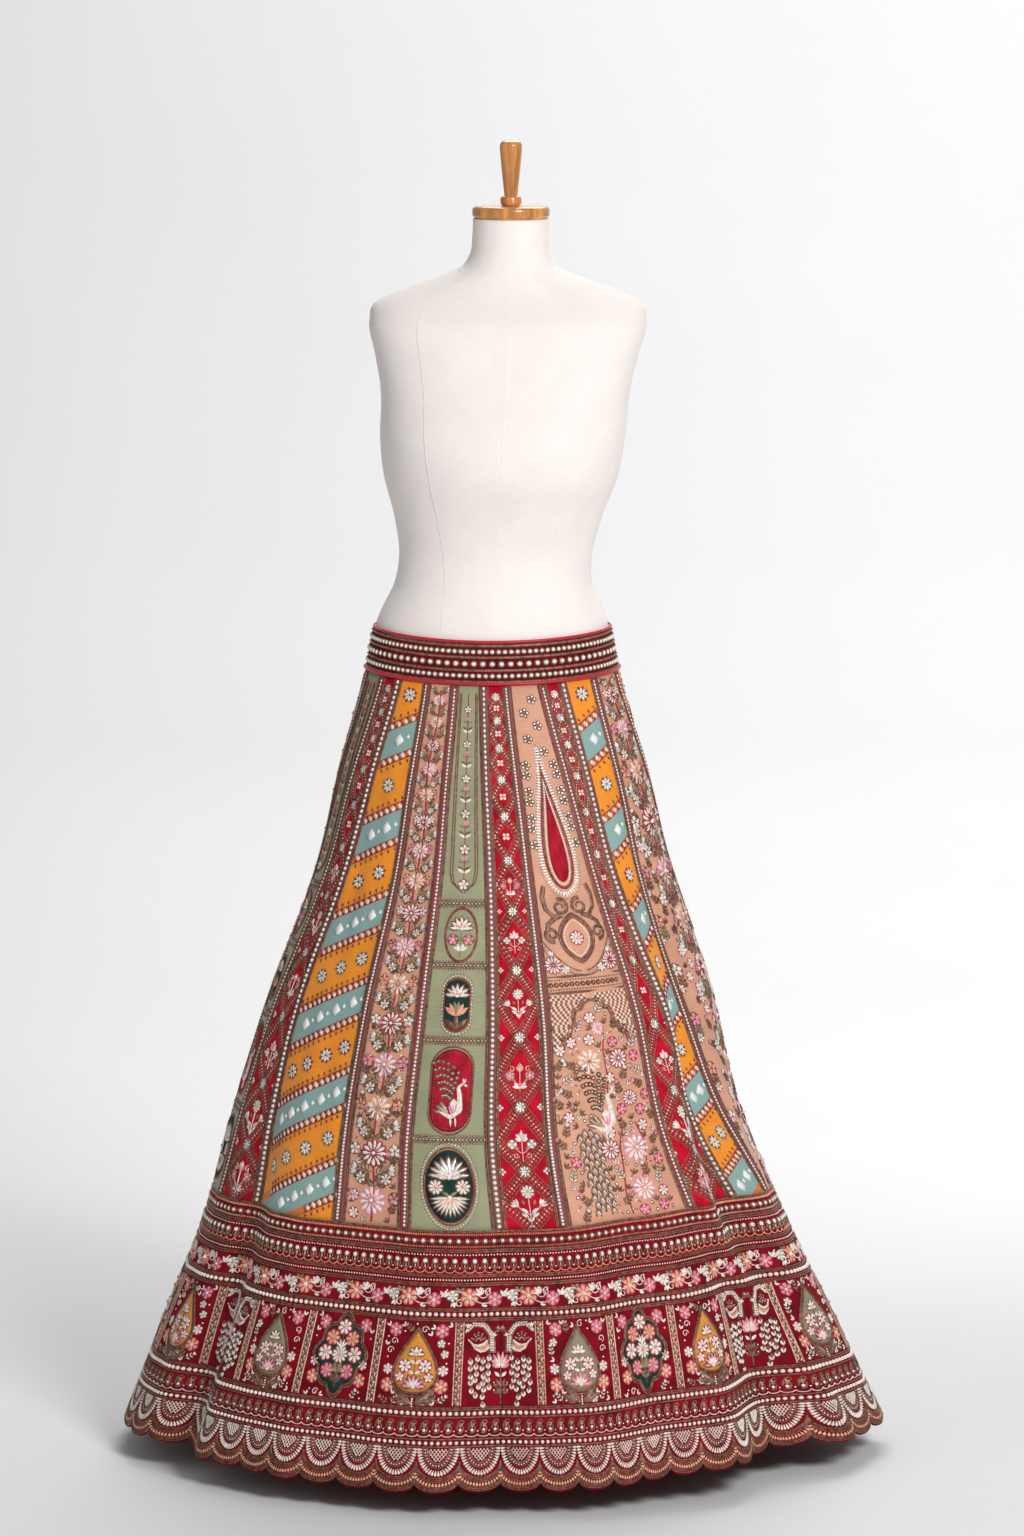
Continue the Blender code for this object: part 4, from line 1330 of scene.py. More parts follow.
def garden_work(chart: GoreChart) -> Motif:
    """Spangles over a toothed drop, scrolls, a medallion, an arch of net, and a garden below."""
    made = Motif()
    rows = np.arange(0.468, chart.length - 0.012, 0.0165)
    for row, y in enumerate(rows):
        reach = chart.half(y, 0.0125)
        if y < 0.58:
            made.stamp(DESIGNS.spangle_flower, [-reach, reach], y + 0.004 * (row % 2))
        else:
            made.stamp(DESIGNS.spangle_flower, reach * (0.55 if row % 2 else -0.55), y)
    # the drop
    share = np.linspace(0.0, 1.0, 60, endpoint=False)
    around = 2 * np.pi * share
    shape = xyz(-np.sin(around) * np.abs(np.sin(around / 2)) ** 2.2, np.cos(around))
    outer = shape * (0.0345, 0.092) + (0.0, 0.498)
    comb(made, outer, 0.0036, 0.00475, SPANGLE, 0.0095, 0.0024, 0.0012, closed=True)
    made.beaded(ZARI, shape * (0.0395, 0.0975) + (0.0, 0.497), 0.0033, 0.0009, closed=True)
    made.cord(RED, shape * (0.0272, 0.08) + (0.0, 0.4925), 0.0018, 0.0013, closed=True)
    made.cord(ZARI, shape * (0.024, 0.0745) + (0.0, 0.489), 0.0022, 0.0015, closed=True)
    made.beaded(PEARL, shape * (0.0195, 0.066) + (0.0, 0.484), 0.0031, 0.0012, closed=True)
    made.patch(Patch.RUBY, shape * (0.0165, 0.059) + (0.0, 0.48), 0.0012)
    scroll_work(made)
    half = chart.half(0.3)
    for side in (-1, 1):
        share = shares(10)
        curve = xyz(0.004 + (half - 0.006) * share, 0.306 + 0.044 * share**1.8)
        strip(made, curve * (side, 1.0), 0.0032, 1, 0.0013, 0.0036, 0.0015)
        made.stamp(great_flower(0.011, 1), side * (half - 0.0125), 0.318)
        made.stamp(blossom(0.0055, 6, WHITE, PEARL), side * (half - 0.027), 0.3115)
        made.leaves(WHITE, side * (half - 0.0125), 0.329, [-30, 0, 30], 0.0075, 0.003)
    for y in (0.303, 0.283):
        made.cord(ZARI, [(-half, y), (0, y), (half, y)], 0.0034, 0.0015)
    x = np.arange(-half + 0.004, half - 0.002, 0.0068)
    made.beads(ZARI, x, 0.293, 0.0036, 0.4, 8).beads(GOLD, x, 0.293, 0.002, 1.2)
    for y in (0.299, 0.287):
        made.beads(ZARI, np.arange(-half + 0.003, half - 0.002, 0.0034), y, 0.0013)
    net_arch(made, chart)
    hanging_garden(made, chart)
    return made


def scroll_work(made: Motif) -> None:
    """Broad beaded scrolls about a pointed medallion of pearl rings."""
    for side in (-1, 1):
        for x, y, radius, start in ((0.0125, 0.39, 0.0105, 80.0), (0.03, 0.356, 0.0095, 260.0)):
            curl = spiral(radius, 1.35, 26, start) * (side, 1.0) + (side * x, y)
            made.cord(ZARI, curl, 0.0056 - 0.003 * np.linspace(0, 1, 26), 0.0018)
            made.beaded(RED, curl, 0.0024, 0.0008, 2.4, 5)
        for arm in (
            [(0.012, 0.3795), (0.023, 0.3785), (0.0305, 0.388), (0.0315, 0.403), (0.0265, 0.417)],
            [(0.014, 0.3795), (0.024, 0.375), (0.032, 0.369), (0.0345, 0.36)],
        ):
            made.cord(ZARI, np.array(arm) * (side, 1.0), 0.0064, 0.0018)
            made.beaded(RED, np.array(arm) * (side, 1.0), 0.0026, 0.0009, 2.2, 5)
    around = circle(40)
    ogee = xyz(-0.0215 * np.sin(around) * np.abs(np.sin(around)) ** 0.6, 0.031 * np.cos(around))
    for scale, width in ((1.0, 0.0036), (0.86, 0.0026)):
        made.cord(ZARI, scale * ogee + (0.0, 0.35), width, 0.0016, closed=True)
    for scale, thread in ((0.93, RED), (0.74, PEARL), (0.6, PEACH)):
        made.beaded(thread, scale * ogee + (0.0, 0.35), 0.0031, 0.0012, closed=True)
    made.stamp(blossom(0.0088, 9, WHITE, PEACH, RED), 0, 0.35)


def net_arch(made: Motif, chart: GoreChart) -> None:
    """A cusped arch in double cord, with a net of pearls and zari beads about it."""
    arch = [(0.0, 0.272), (0.009, 0.269), (0.014, 0.261), (0.021, 0.259), (0.0245, 0.251), (0.024, 0.241)]
    arch = np.array([*arch, (0.03, 0.238), (0.033, 0.229), (0.041, 0.226), (0.044, 0.214)])
    for side in (-1, 1):
        made.cord(ZARI, arch * (side, 1.0), 0.0036, 0.0019)
        made.cord(ZARI, (arch + (0.0034, 0.0026)) * (side, 1.0), 0.0024, 0.0016)
        made.beaded(RED, (arch + (0.0018, 0.0014)) * (side, 1.0), 0.0034, 0.001, 2.2, 5)
    for row, y in enumerate(np.arange(0.216, 0.2815, 0.0033)):
        inside = float(np.interp(-y, -arch[:, 1], arch[:, 0])) if y < 0.272 else -0.002
        limit = chart.half(y, 0.0075)
        for shift, thread, radius in ((0.0, PEARL, 0.0014), (0.0033, ZARI, 0.0018)):
            x = np.arange(inside + 0.006 + 0.0033 * (row % 2) + shift, limit, 0.0066)
            made.beads(thread, np.concatenate([-x, x]), y, radius)


def hanging_garden(made: Motif, chart: GoreChart) -> None:
    """A peacock in a flowering tree: its tail hangs, great flowers stand round it, sprigs between."""
    made.stamp(small_peacock(), -0.004, 0.14, 0, 1.35)
    eyes = feather_eye()
    for row, y in enumerate(np.arange(0.112, 0.016, -0.0092)):
        for x in (-0.04, -0.0325, -0.025, -0.0175):
            made.stamp(eyes, x + 0.0022 * (row % 2), y - 0.7 * abs(x + 0.029), 6.0 * (x + 0.029) / 0.011)
    for path, width in (
        ([(0.008, 0.004), (0.005, 0.03), (0.01, 0.06), (0.012, 0.09), (0.02, 0.112)], 0.0022),
        ([(0.006, 0.15), (0.008, 0.18), (0.006, 0.205), (0.01, 0.238)], 0.0022),
        ([(0.01, 0.028), (0.03, 0.046), (0.043, 0.062), (0.046, 0.092), (0.038, 0.116)], 0.0018),
        ([(0.006, 0.16), (-0.016, 0.176), (-0.03, 0.196)], 0.0016),
    ):
        made.cord(RED, path, width, 0.0013)
    taken = [(-0.028, y, 0.015) for y in np.arange(0.01, 0.118, 0.012)]
    taken += [(-0.012, 0.15, 0.018), (-0.018, 0.172, 0.012), (0.002, 0.132, 0.012)]
    for x, y, radius, kind in (
        (-0.014, 0.196, 0.015, 2),
        (0.026, 0.196, 0.012, 1),
        (-0.002, 0.086, 0.012, 1),
        (0.033, 0.084, 0.0165, 0),
        (0.03, 0.034, 0.0145, 0),
        (0.003, 0.236, 0.008, 0),
        (0.036, 0.146, 0.0095, 1),
    ):
        made.stamp(great_flower(0.0165, kind), x, y, 11.0 * kind, radius / 0.0165)
        taken.append((x, y, radius))

    def inside(x: Array, up: Array) -> Array:
        """Whether places lie under the arch and clear of the seam tapes."""
        room = 0.5 * chart.width(up) - 0.0105
        return np.abs(x) < np.minimum(room, np.interp(up, (0.205, 0.262), (0.07, 0.008)))

    area = (0.006, 0.262, 0.065)
    taken = scatter(made, small_sprays(), 0.0082, taken, area, inside, chart.gore)
    scatter(made, small_fillings(), 0.0037, taken, area, inside, chart.gore + 50)


def feather_eye() -> Motif:
    """One eye of a tail feather: a zari drop about a pearl."""
    made = Motif().leaves(ZARI, 0, 0.006, [162, 198], 0.0125, 0.005, 0.0012)
    return made.leaves(WHITE, 0, 0.003, [160, 200], 0.0078, 0.0022, 0.0018)


WORK = {"diamond": diamond_work, "stripe": stripe_work, "vine": vine_work, "oval": oval_work,
    "garden": garden_work}


# ----- the border's designs


def peacock_panel() -> Motif:
    """Two peacocks back to back about a lotus, their tails hanging; y 0 is the panel's top."""
    made = Motif()
    chance = np.random.default_rng(41)
    share = shares(24)
    for side in (-1, 1):
        neck = xyz(np.interp(share, (0, 0.25, 0.5, 0.75, 1), (0.04, 0.0335, 0.02, 0.011, 0.0105)),
                np.interp(share, (0, 0.25, 0.5, 0.75, 1), (-0.011, -0.0045, -0.0055, -0.018, -0.04)))
        made.cord(ZARI, neck * (side, 1.0), 0.004 + 0.0062 * share**0.7, 0.0012)
        spots, spins = resample(neck * (side, 1.0), 0.0031)
        size = 0.0026 + 0.0042 * np.linspace(0.0, 1.0, len(spots)) ** 0.7
        for lean in (-34.0, 34.0):
            made.leaves(WHITE, *spots.T, spins + 90.0 + lean, 0.004, 0.45 * size + 0.0006, 0.0021)
        made.beads(PINK, *spots.T, 0.0008, 3, 5)
        made.leaves(WHITE, side * 0.04, -0.009, -side * np.array([-30.0, 0, 30, 150]), 0.0065, 0.0024)
        back = np.radians(np.linspace(20.0, 160.0, 5))
        for reach in (0.003, 0.006, 0.0085):
            x, y = 0.0275 + reach * np.cos(back), -0.025 + 1.2 * reach * np.sin(back)
            made.beads(ZARI, side * x, y, 0.0017, 0.6)
            made.beads(PEARL, side * x, y, 0.0009, 1.8)
        for row, thread in enumerate((WHITE, GOLD, PEACH, WHITE)):
            bend = np.array([0.0165, 0.0215, 0.0275, 0.034, 0.04]) - 0.0009 * row
            low = np.array([-0.0245, -0.029, -0.0308, -0.0292, -0.0225])
            low = low - np.array([2.6, 2.5, 2.2, 1.6, 0.9]) * 1e-3 * row
            made.cord(thread, xyz(side * bend, low), np.array([2.2, 3.2, 3.4, 2.8, 1.4]) * 1e-3, 0.0017)
        made.leaves(WHITE, side * 0.0105, -0.02, -side * np.array([20, -40, -70]), 0.0065, 0.0024)
        for row in range(7):
            for column in range(4):
                if (row == 6 and column != 1) or (row == 5 and column in (0, 3)):
                    continue
                x = 0.0142 + 0.0074 * column + 0.0018 * (row % 2) + chance.uniform(-0.001, 0.001)
                y = -0.045 - 0.0086 * row - 0.0034 * (column % 2) + chance.uniform(-0.001, 0.001)
                lean = chance.uniform(-14.0, 14.0)
                made.leaves(ZARI, side * x, y - 0.0052, lean, 0.0092, 0.005, 0.0009, False, True)
                heart = lean + np.array([24.0, -24.0])
                made.leaves(WHITE, side * x, y - 0.0055, heart, 0.0066, 0.0034, 0.0018)
    for side in (-1, 1):
        spins = -side * np.array([8.0, 28.0, 48.0, 70.0])
        made.leaves(PINK, side * 0.0006, -0.058, spins, [0.02, 0.0185, 0.0155, 0.0115], 0.0052, 0.0012)
        made.leaves(WHITE, side * 0.0006, -0.0575, spins, [0.0165, 0.015, 0.012, 0.009], 0.0034, 0.0017)
        made.leaves(WHITE, side * 0.001, -0.069, -side * 48.0, 0.009, 0.0042)
        for y in (-0.08, -0.089):
            made.leaves(ZARI, 0, y, -side * np.array([38.0, 80.0]), 0.0105, 0.004)
            made.beads(SPANGLE, side * 0.0085, y + 0.004, 0.0011)
        made.leaves(ZARI, 0, -0.013, -side * np.array([25.0, 60.0, 95.0]), 0.0078, 0.0032)
        made.leaves(WHITE, 0, -0.012, -side * 42.0, 0.006, 0.0022)
    return made.cord(ZARI, [(0, -0.058), (0, -0.08), (0, -0.1015)], 0.0018)


def drop_panel(patch: Patch, wings: bool) -> Motif:
    """A drop of silk with a flowering plant in it, over zari leaves; y 0 is the panel's top."""
    made = Motif()
    shape = drop(0.058, 0.074, 40) + (0.0, -0.0505)
    made.patch(patch, shape, 0.001)
    for scale, width in ((1.03, 0.0026), (1.13, 0.0024)):
        ring = (shape - (0.0, -0.0505)) * scale + (0.0, -0.0505)
        made.cord(ZARI, ring, width, 0.0017, closed=True)
    figure = Motif()
    figure.stamp(lotus_fan(0.031, 7, PINK, WHITE), 0, -0.084)
    figure.leaves(WHITE, 0, -0.0835, [-64, -32, 0, 32, 64], 0.0105, 0.0036, 0.0021)
    figure.cord(ZARI, [(0, -0.082), (0, -0.06), (0, -0.04)], 0.001)
    flower = blossom(0.008, 7, WHITE, RED, RED)
    figure.stamp(flower, [-0.0125, 0.0125], -0.059)
    figure.stamp(blossom(0.0056, 5, WHITE, PEACH, RED), [-0.018, 0.018], -0.0725)
    figure.leaves(WHITE, 0, [-0.068, -0.068, -0.056, -0.056], [-68, 68, -58, 58], 0.0085, 0.0036)
    figure.stamp(lotus_fan(0.021, 5, WHITE, PEACH), 0, -0.045)
    made.stamp(figure, 0, 0.003, raised=0.001)
    for side in (-1, 1):
        for spin, length in (((56.0, 0.03), (80.0, 0.03)) if wings else ((50.0, 0.028), (72.0, 0.028))):
            made.leaves(ZARI, side * 0.001, -0.101, -side * spin, length, 0.0098, 0.0024)
            made.leaves(GOLD, side * 0.005, -0.1, -side * spin, 0.66 * length, 0.002, 0.003)
        curl = spiral(0.003, 1, 12, 90) * (side, 1.0) + (side * 0.005, -0.103)
        made.cord(ZARI, curl, 0.001)
    made.beads(PEARL, 0, np.arange(-0.104, -0.09, 0.003), 0.0014)
    return made.stamp(corner_flowers(0.036, 0.044, -0.056, 3 + wings))


def corner_flowers(wide: float, tall: float, middle: float, seed: int) -> Motif:
    """Roses, buds and leaves that fill a panel round an oval place kept for its figure."""
    made, taken = Motif(), []
    for side in (-1, 1):
        for x, y, radius, petal in (
            (0.029, -0.013, 0.0082, PINK),
            (0.0345, -0.061, 0.0064, WHITE),
            (0.0335, -0.08, 0.0084, PEACH),
        ):
            made.stamp(blossom(radius, 6, petal, WHITE, RED), side * x, y)
            taken.append((side * x, y, radius))

    def inside(x: Array, y: Array) -> Array:
        """Whether places lie outside the middle oval."""
        return (x / wide) ** 2 + ((y - middle) / tall) ** 2 > 1.0

    spray = Motif().stamp(sprig(0.013, WHITE, WHITE, 2), 0, -0.0065)
    leafy = Motif().stamp(sprig(0.013, GREEN, PINK, 2), 0, -0.0065)
    curl = Motif().cord(WHITE, spiral(0.0048, 1.1, 10), 0.0012)
    stock = [spray, curl, leafy, blossom(0.005, 5, WHITE, GOLD)]
    taken = scatter(made, stock, 0.0054, taken, (-0.099, -0.006, 0.037), inside, seed)
    loose = [Motif().leaves(WHITE, 0, -0.003, [-30, 30], 0.0062, 0.0026)]
    loose.append(Motif().beads(PEARL, 0, 0, 0.0013))
    scatter(made, loose, 0.003, taken, (-0.101, -0.004, 0.039), inside, seed + 9)
    return made


def ogee_panel() -> Motif:
    """An eight-lobed dark medallion ringed with flowers; y 0 is the panel's top."""
    made, figure, middle = Motif(), Motif(), -0.051
    shape = lobed(0.035, 8, 0.15, 1.36, 64, 1.45)
    made.patch(Patch.BOTTLE, shape + (0.0, middle), 0.001)
    for scale in (1.03, 1.12):
        made.cord(ZARI, shape * scale + (0.0, middle), 0.0026, 0.0017, closed=True)
    for turned, petal, size in (
        (0.0, WHITE, 1.0),
        (42.0, PEACH, 1.0),
        (-42.0, PEACH, 1.0),
        (88.0, WHITE, 1.05),
        (-88.0, WHITE, 1.05),
        (138.0, PINK, 0.95),
        (-138.0, PINK, 0.95),
    ):
        around = math.radians(turned)
        spot = (0.0205 * math.sin(around), middle + (0.0335 if turned == 0.0 else 0.027) * math.cos(around))
        figure.stamp(blossom(0.0092, 7, petal, GOLD, RED), *spot, turned, size)
    figure.stamp(blossom(0.0105, 11, WHITE, PEACH), 0, middle)
    figure.cord(RED, [(0, middle - 0.04), (0, middle - 0.02), (0, middle + 0.025)], 0.0013)
    figure.outlined(GREEN, 0, middle - 0.022, [-58, -22, 22, 58], 0.013, 0.0046)
    figure.outlined(ZARI, 0, middle - 0.034, [-40, 0, 40], 0.012, 0.0044)
    figure.outlined(WHITE, 0, middle + 0.008, [-46, -16, 16, 46], 0.011, 0.0034)
    made.stamp(corner_flowers(0.041, 0.054, middle, 8))
    return made.stamp(figure, raised=0.0009)


@dataclass
class BorderWork:
    """The hem border's rows, its panels and its scallops, heights from the border seam down."""

    chart: RoundChart = field(default_factory=lambda: RoundChart(FORM.border))
    panel_top: float = -0.1095
    panel_bottom: float = -0.2125

    def ring(self, count: int) -> Array:
        """Evenly spaced base angles round the skirt."""
        return FIRST_SEAM + 360.0 * (np.arange(count) + 0.5) / count

    def round_cord(self, work: Needlework, thread: Thread, y: float, width: float, lift: float) -> None:
        """A cord right round the skirt at a height, an arc between each two base angles."""
        count = 24
        radius = float(FORM.mean_radius(FORM.level_at(self.chart.start + y)))
        half = math.pi * radius / count
        path = [(x, y) for x in np.linspace(-half, half, 12)]
        work.lay(Motif().cord(thread, path, width, lift), self.chart, self.ring(count))

    def rows(self, work: Needlework) -> None:
        """The cords, pearl rows, drops and paisleys."""
        for y, width in ((-0.0014, 0.0028), (-0.0232, 0.0022), (-0.0256, 0.0022)):
            self.round_cord(work, ZARI, y, width, 0.0014)
        for y, width in ((-0.053, 0.0019), (-0.0552, 0.0019), (-0.0635, 0.0019), (-0.0658, 0.0019)):
            self.round_cord(work, ZARI, y, width, 0.0013)
        for y in (-0.0945, -0.0966, -0.1062, -0.1084, -0.2138, -0.216, -0.2252, -0.2512, -0.2602):
            self.round_cord(work, ZARI, y, 0.0019, 0.0014)
        # ticks and ringed pearls
        tick = Motif().leaves(PEACH, 0, -0.0066, 0, 0.0034, 0.0013, 0.0011)
        tick.leaves(GOLD, 0, -0.021, 0, 0.003, 0.0012, 0.001)
        work.lay(tick, self.chart, self.ring(930))
        ringed = Motif().beads(ZARI, 0, -0.0128, 0.0043, 0.3, 8)
        ringed.beads(PEARL, 0, -0.0128, 0.0026, 0.95, 8)
        ringed.leaves(ZARI, 0.0055, -0.0108, [180, 150, 210], 0.0042, 0.0015)
        work.lay(ringed, self.chart, self.ring(198))
        tiny = Motif().beads(PEARL, [-0.002, 0.002], [-0.0294, -0.029], 0.001)
        work.lay(tiny, self.chart, self.ring(290))
        # hanging drops over a scalloped thread
        loop = oval(0.0078, 0.01, 10, 0, -0.0415)
        hanging = Motif().cord(ZARI, loop, 0.0017, 0.0013, closed=True)
        hanging.beads(ZARI, 0, -0.0368, 0.0046, 0.32, 8).beads(PEARL, 0, -0.0368, 0.0032, 0.9, 8)
        hanging.leaves(GOLD, 0, -0.0395, 180, 0.007, 0.0022, 0.0015)
        share = np.linspace(-1.0, 1.0, 9)
        swag = xyz(0.006 + 0.006 * share, -0.0468 - 0.004 * np.sqrt(1.02 - share**2))
        hanging.cord(PEACH, swag, 0.0011, 0.0012)
        hanging.beads(SPANGLE, 0.006, -0.045, 0.0012)
        work.lay(hanging, self.chart, self.ring(182))
        seed = Motif().beads(PEARL, 0, -0.0594, 0.0011)
        work.lay(seed, self.chart, self.ring(600))
        # rows of pearls
        for y, radius, count in ((-0.1012, 0.0027, 312), (-0.2206, 0.0027, 360), (-0.2558, 0.0024, 372)):
            work.lay(Motif().beads(PEARL, 0, y, radius, 0.9, 8), self.chart, self.ring(count))
            dot = Motif().beads(RED, 0.5 * 2.4 / count * math.pi, y, 0.0009, 1, 5)
            work.lay(dot, self.chart, self.ring(count))
        # paisleys with a pearl in each, over a scalloped thread
        share = shares(12)
        turned = np.radians(200.0 - 330.0 * share)
        body = xyz(0.0002 + 0.0044 * np.cos(turned) * (1 - 0.2 * share), -0.2392 + 0.0048 * np.sin(turned))
        tip = np.array([(-0.004, -0.237), (-0.003, -0.2325), (0.0, -0.2292), (0.0036, -0.229)])
        paisley = Motif().cord(ZARI, np.vstack([body[::-1], tip]), 0.0022, 0.0014)
        paisley.cord(ZARI, [(0.0036, -0.229), (0.005, -0.231), (0.0036, -0.2328)], 0.0014)
        paisley.leaves(GOLD, 0, -0.2375, [4, -28], 0.0068, 0.0022)
        paisley.beads(PEARL, 0.0003, -0.2402, 0.0023, 1)
        share = np.linspace(-1.0, 1.0, 9)
        swag = xyz(0.0073 * share, -0.245 - 0.0032 * np.sqrt(1.02 - share**2))
        paisley.cord(WHITE, swag, 0.0011, 0.0013)
        paisley.beads(SPANGLE, 0.0073, -0.2415, 0.001)
        work.lay(paisley, self.chart, self.ring(186))

    def vine(self, work: Needlework) -> None:
        """The running vine: waves of white thread, peach and pink flowers, buds and leaves."""
        pitch = 0.0715
        share = shares(20)
        wave = xyz(pitch * (share - 0.5), -0.0802 + 0.0078 * np.sin(2 * np.pi * share))
        made = Motif().cord(WHITE, wave, 0.0013, 0.0012)
        made.stamp(blossom(0.0106, 7, PEACH, WHITE, RED), -0.001, -0.0802)
        made.stamp(blossom(0.0086, 6, PINK, WHITE, RED), 0.0305, -0.0835)
        made.stamp(blossom(0.007, 6, WHITE, GOLD), -0.0215, -0.079)
        for x, y, start in ((0.017, -0.0755, 180.0), (-0.0215, -0.079, 0.0)):
            made.cord(WHITE, spiral(0.0072, 0.9, 14, start) + (x, y), 0.0012)
        made.leaves(WHITE, 0.014, -0.077, [10, 48, 86], 0.0092, 0.0042)
        made.leaves(WHITE, -0.032, -0.08, [-20, -60, 30], 0.0088, 0.0042)
        made.leaves(WHITE, -0.02, -0.086, [150, 190, 230], 0.007, 0.0032)
        made.leaves(WHITE, 0.014, -0.09, [-70, -100], 0.0075, 0.0034)
        made.leaves(GREEN, -0.012, -0.074, [-40, 40, 100], 0.0075, 0.004)
        made.leaves(GREEN, 0.022, -0.087, [-60, 120], 0.007, 0.0038)
        made.beads(PEARL, [0.008, -0.028, 0.024], [-0.0705, -0.0715, -0.072], 0.0013)
        curl = spiral(0.0052, 1.1, 12, 60)
        for x, y, side in ((-0.0125, -0.0875, 1), (0.0125, -0.0725, -1), (0.0225, -0.0745, 1)):
            made.cord(WHITE, curl * (side, side) + (x, y), 0.0013)
        work.lay(made, self.chart, self.ring(31))

    def panels(self, work: Needlework) -> None:
        """The 24 panels, four kinds in turn, and the beaded bars between them."""
        top = self.panel_top
        kinds = (peacock_panel(), drop_panel(Patch.SMOKE, False), ogee_panel(), drop_panel(Patch.AMBER, True))
        for kind, figure in enumerate(kinds):
            raised = Motif().stamp(figure, 0, top + 0.001)
            spots = FIRST_SEAM + PANEL_PITCH * (kind + 4 * np.arange(SECTION_COUNT))
            work.lay(raised, self.chart, spots)
        bar = Motif()
        up = np.linspace(self.panel_bottom + 0.001, top - 0.001, 20)
        for x in (-0.005, 0.0046):
            bar.cord(GOLD, xyz(x, up), 0.002, 0.0016)
        bar.cord(ZARI, xyz(0.0, up), 0.006, 0.0007)
        spots = np.arange(self.panel_bottom + 0.004, top - 0.002, 0.0052)
        side = 0.0012 * (-1.0) ** np.arange(len(spots))
        bar.beads(PEARL, side, spots, 0.0015, 1.2)
        bar.beads(SPANGLE, -side, spots + 0.0026, 0.001, 1.6)
        for x in (-0.0026, 0.0028):
            bar.beads(PEACH, x, spots + 0.0013, 0.0011, 1.4, 5)
            bar.beads(RED, x, spots + 0.0039, 0.0011, 1.2, 5)
        work.lay(bar, self.chart, FIRST_SEAM + PANEL_PITCH * (np.arange(24) + 0.5))

    def scallops(self, work: Needlework) -> None:
        """Each scallop: a thread lattice, a cord, seed beads, bugle beads, and the bound edge."""
        top = -0.2615
        half = math.pi / SCALLOPS
        made = Motif()
        for offset in np.linspace(-0.0177, 0.0177, 9):
            for lean in (-1, 1):
                span = np.linspace(-0.02, 0.02, 33)
                x, y = offset + 0.8 * span, lean * span - 0.0075
                held = ((x / 0.0122) ** 2 + (y / 0.0172) ** 2 < 1.0) & (y < 0.0)
                if held.sum() > 1:
                    ends = xyz(x[held], top + y[held])[[0, -1]]
                    made.cord(WHITE, ends, 0.0009, 0.0011)
        sweep = np.radians(np.linspace(-90.0, 90.0, 19))

        def bow(across: float, deep: float) -> Array:
            """A bow that hangs from the scallop's top."""
            return xyz(across * np.sin(sweep), top - deep * np.cos(sweep))

        made.cord(ZARI, bow(0.0136, 0.0188), 0.0026, 0.0014)
        made.beaded(PEARL, bow(0.0158, 0.0214), 0.0036, 0.001)
        made.cord(ZARI, bow(0.0176, 0.0238), 0.0016, 0.0013)
        comb(made, bow(0.022, 0.0302), 0.0034, 0.0036, WHITE, 0.0074, 0.003, 0.0018, True)
        for cusp, deep, width in (
            (-0.2782, 0.0196, 0.0019),
            (-0.2814, 0.0186, 0.0017),
            (-0.285, 0.0172, 0.0017),
            (-0.2962, 0.0128, 0.0017),
            (-0.2992, 0.0118, 0.0017),
            (-0.302, 0.011, 0.0015),
        ):
            reach = half * float(FORM.mean_radius(FORM.level_at(self.chart.start + cusp)))
            path = xyz(reach * np.sin(sweep), cusp - deep * np.cos(sweep))
            made.cord(ZARI, path, width, 0.0014)
        reach = half * float(FORM.mean_radius(FORM.level_at(self.chart.start - 0.291)))
        path = xyz(0.985 * reach * np.sin(sweep), -0.2908 - 0.0148 * np.cos(sweep))
        comb(made, path, 0.0039, 0.0024, PEACH, 0.005, 0.0031, 0.0018, True, True)
        work.lay(made, self.chart, self.ring(SCALLOPS))


# ----- sewing


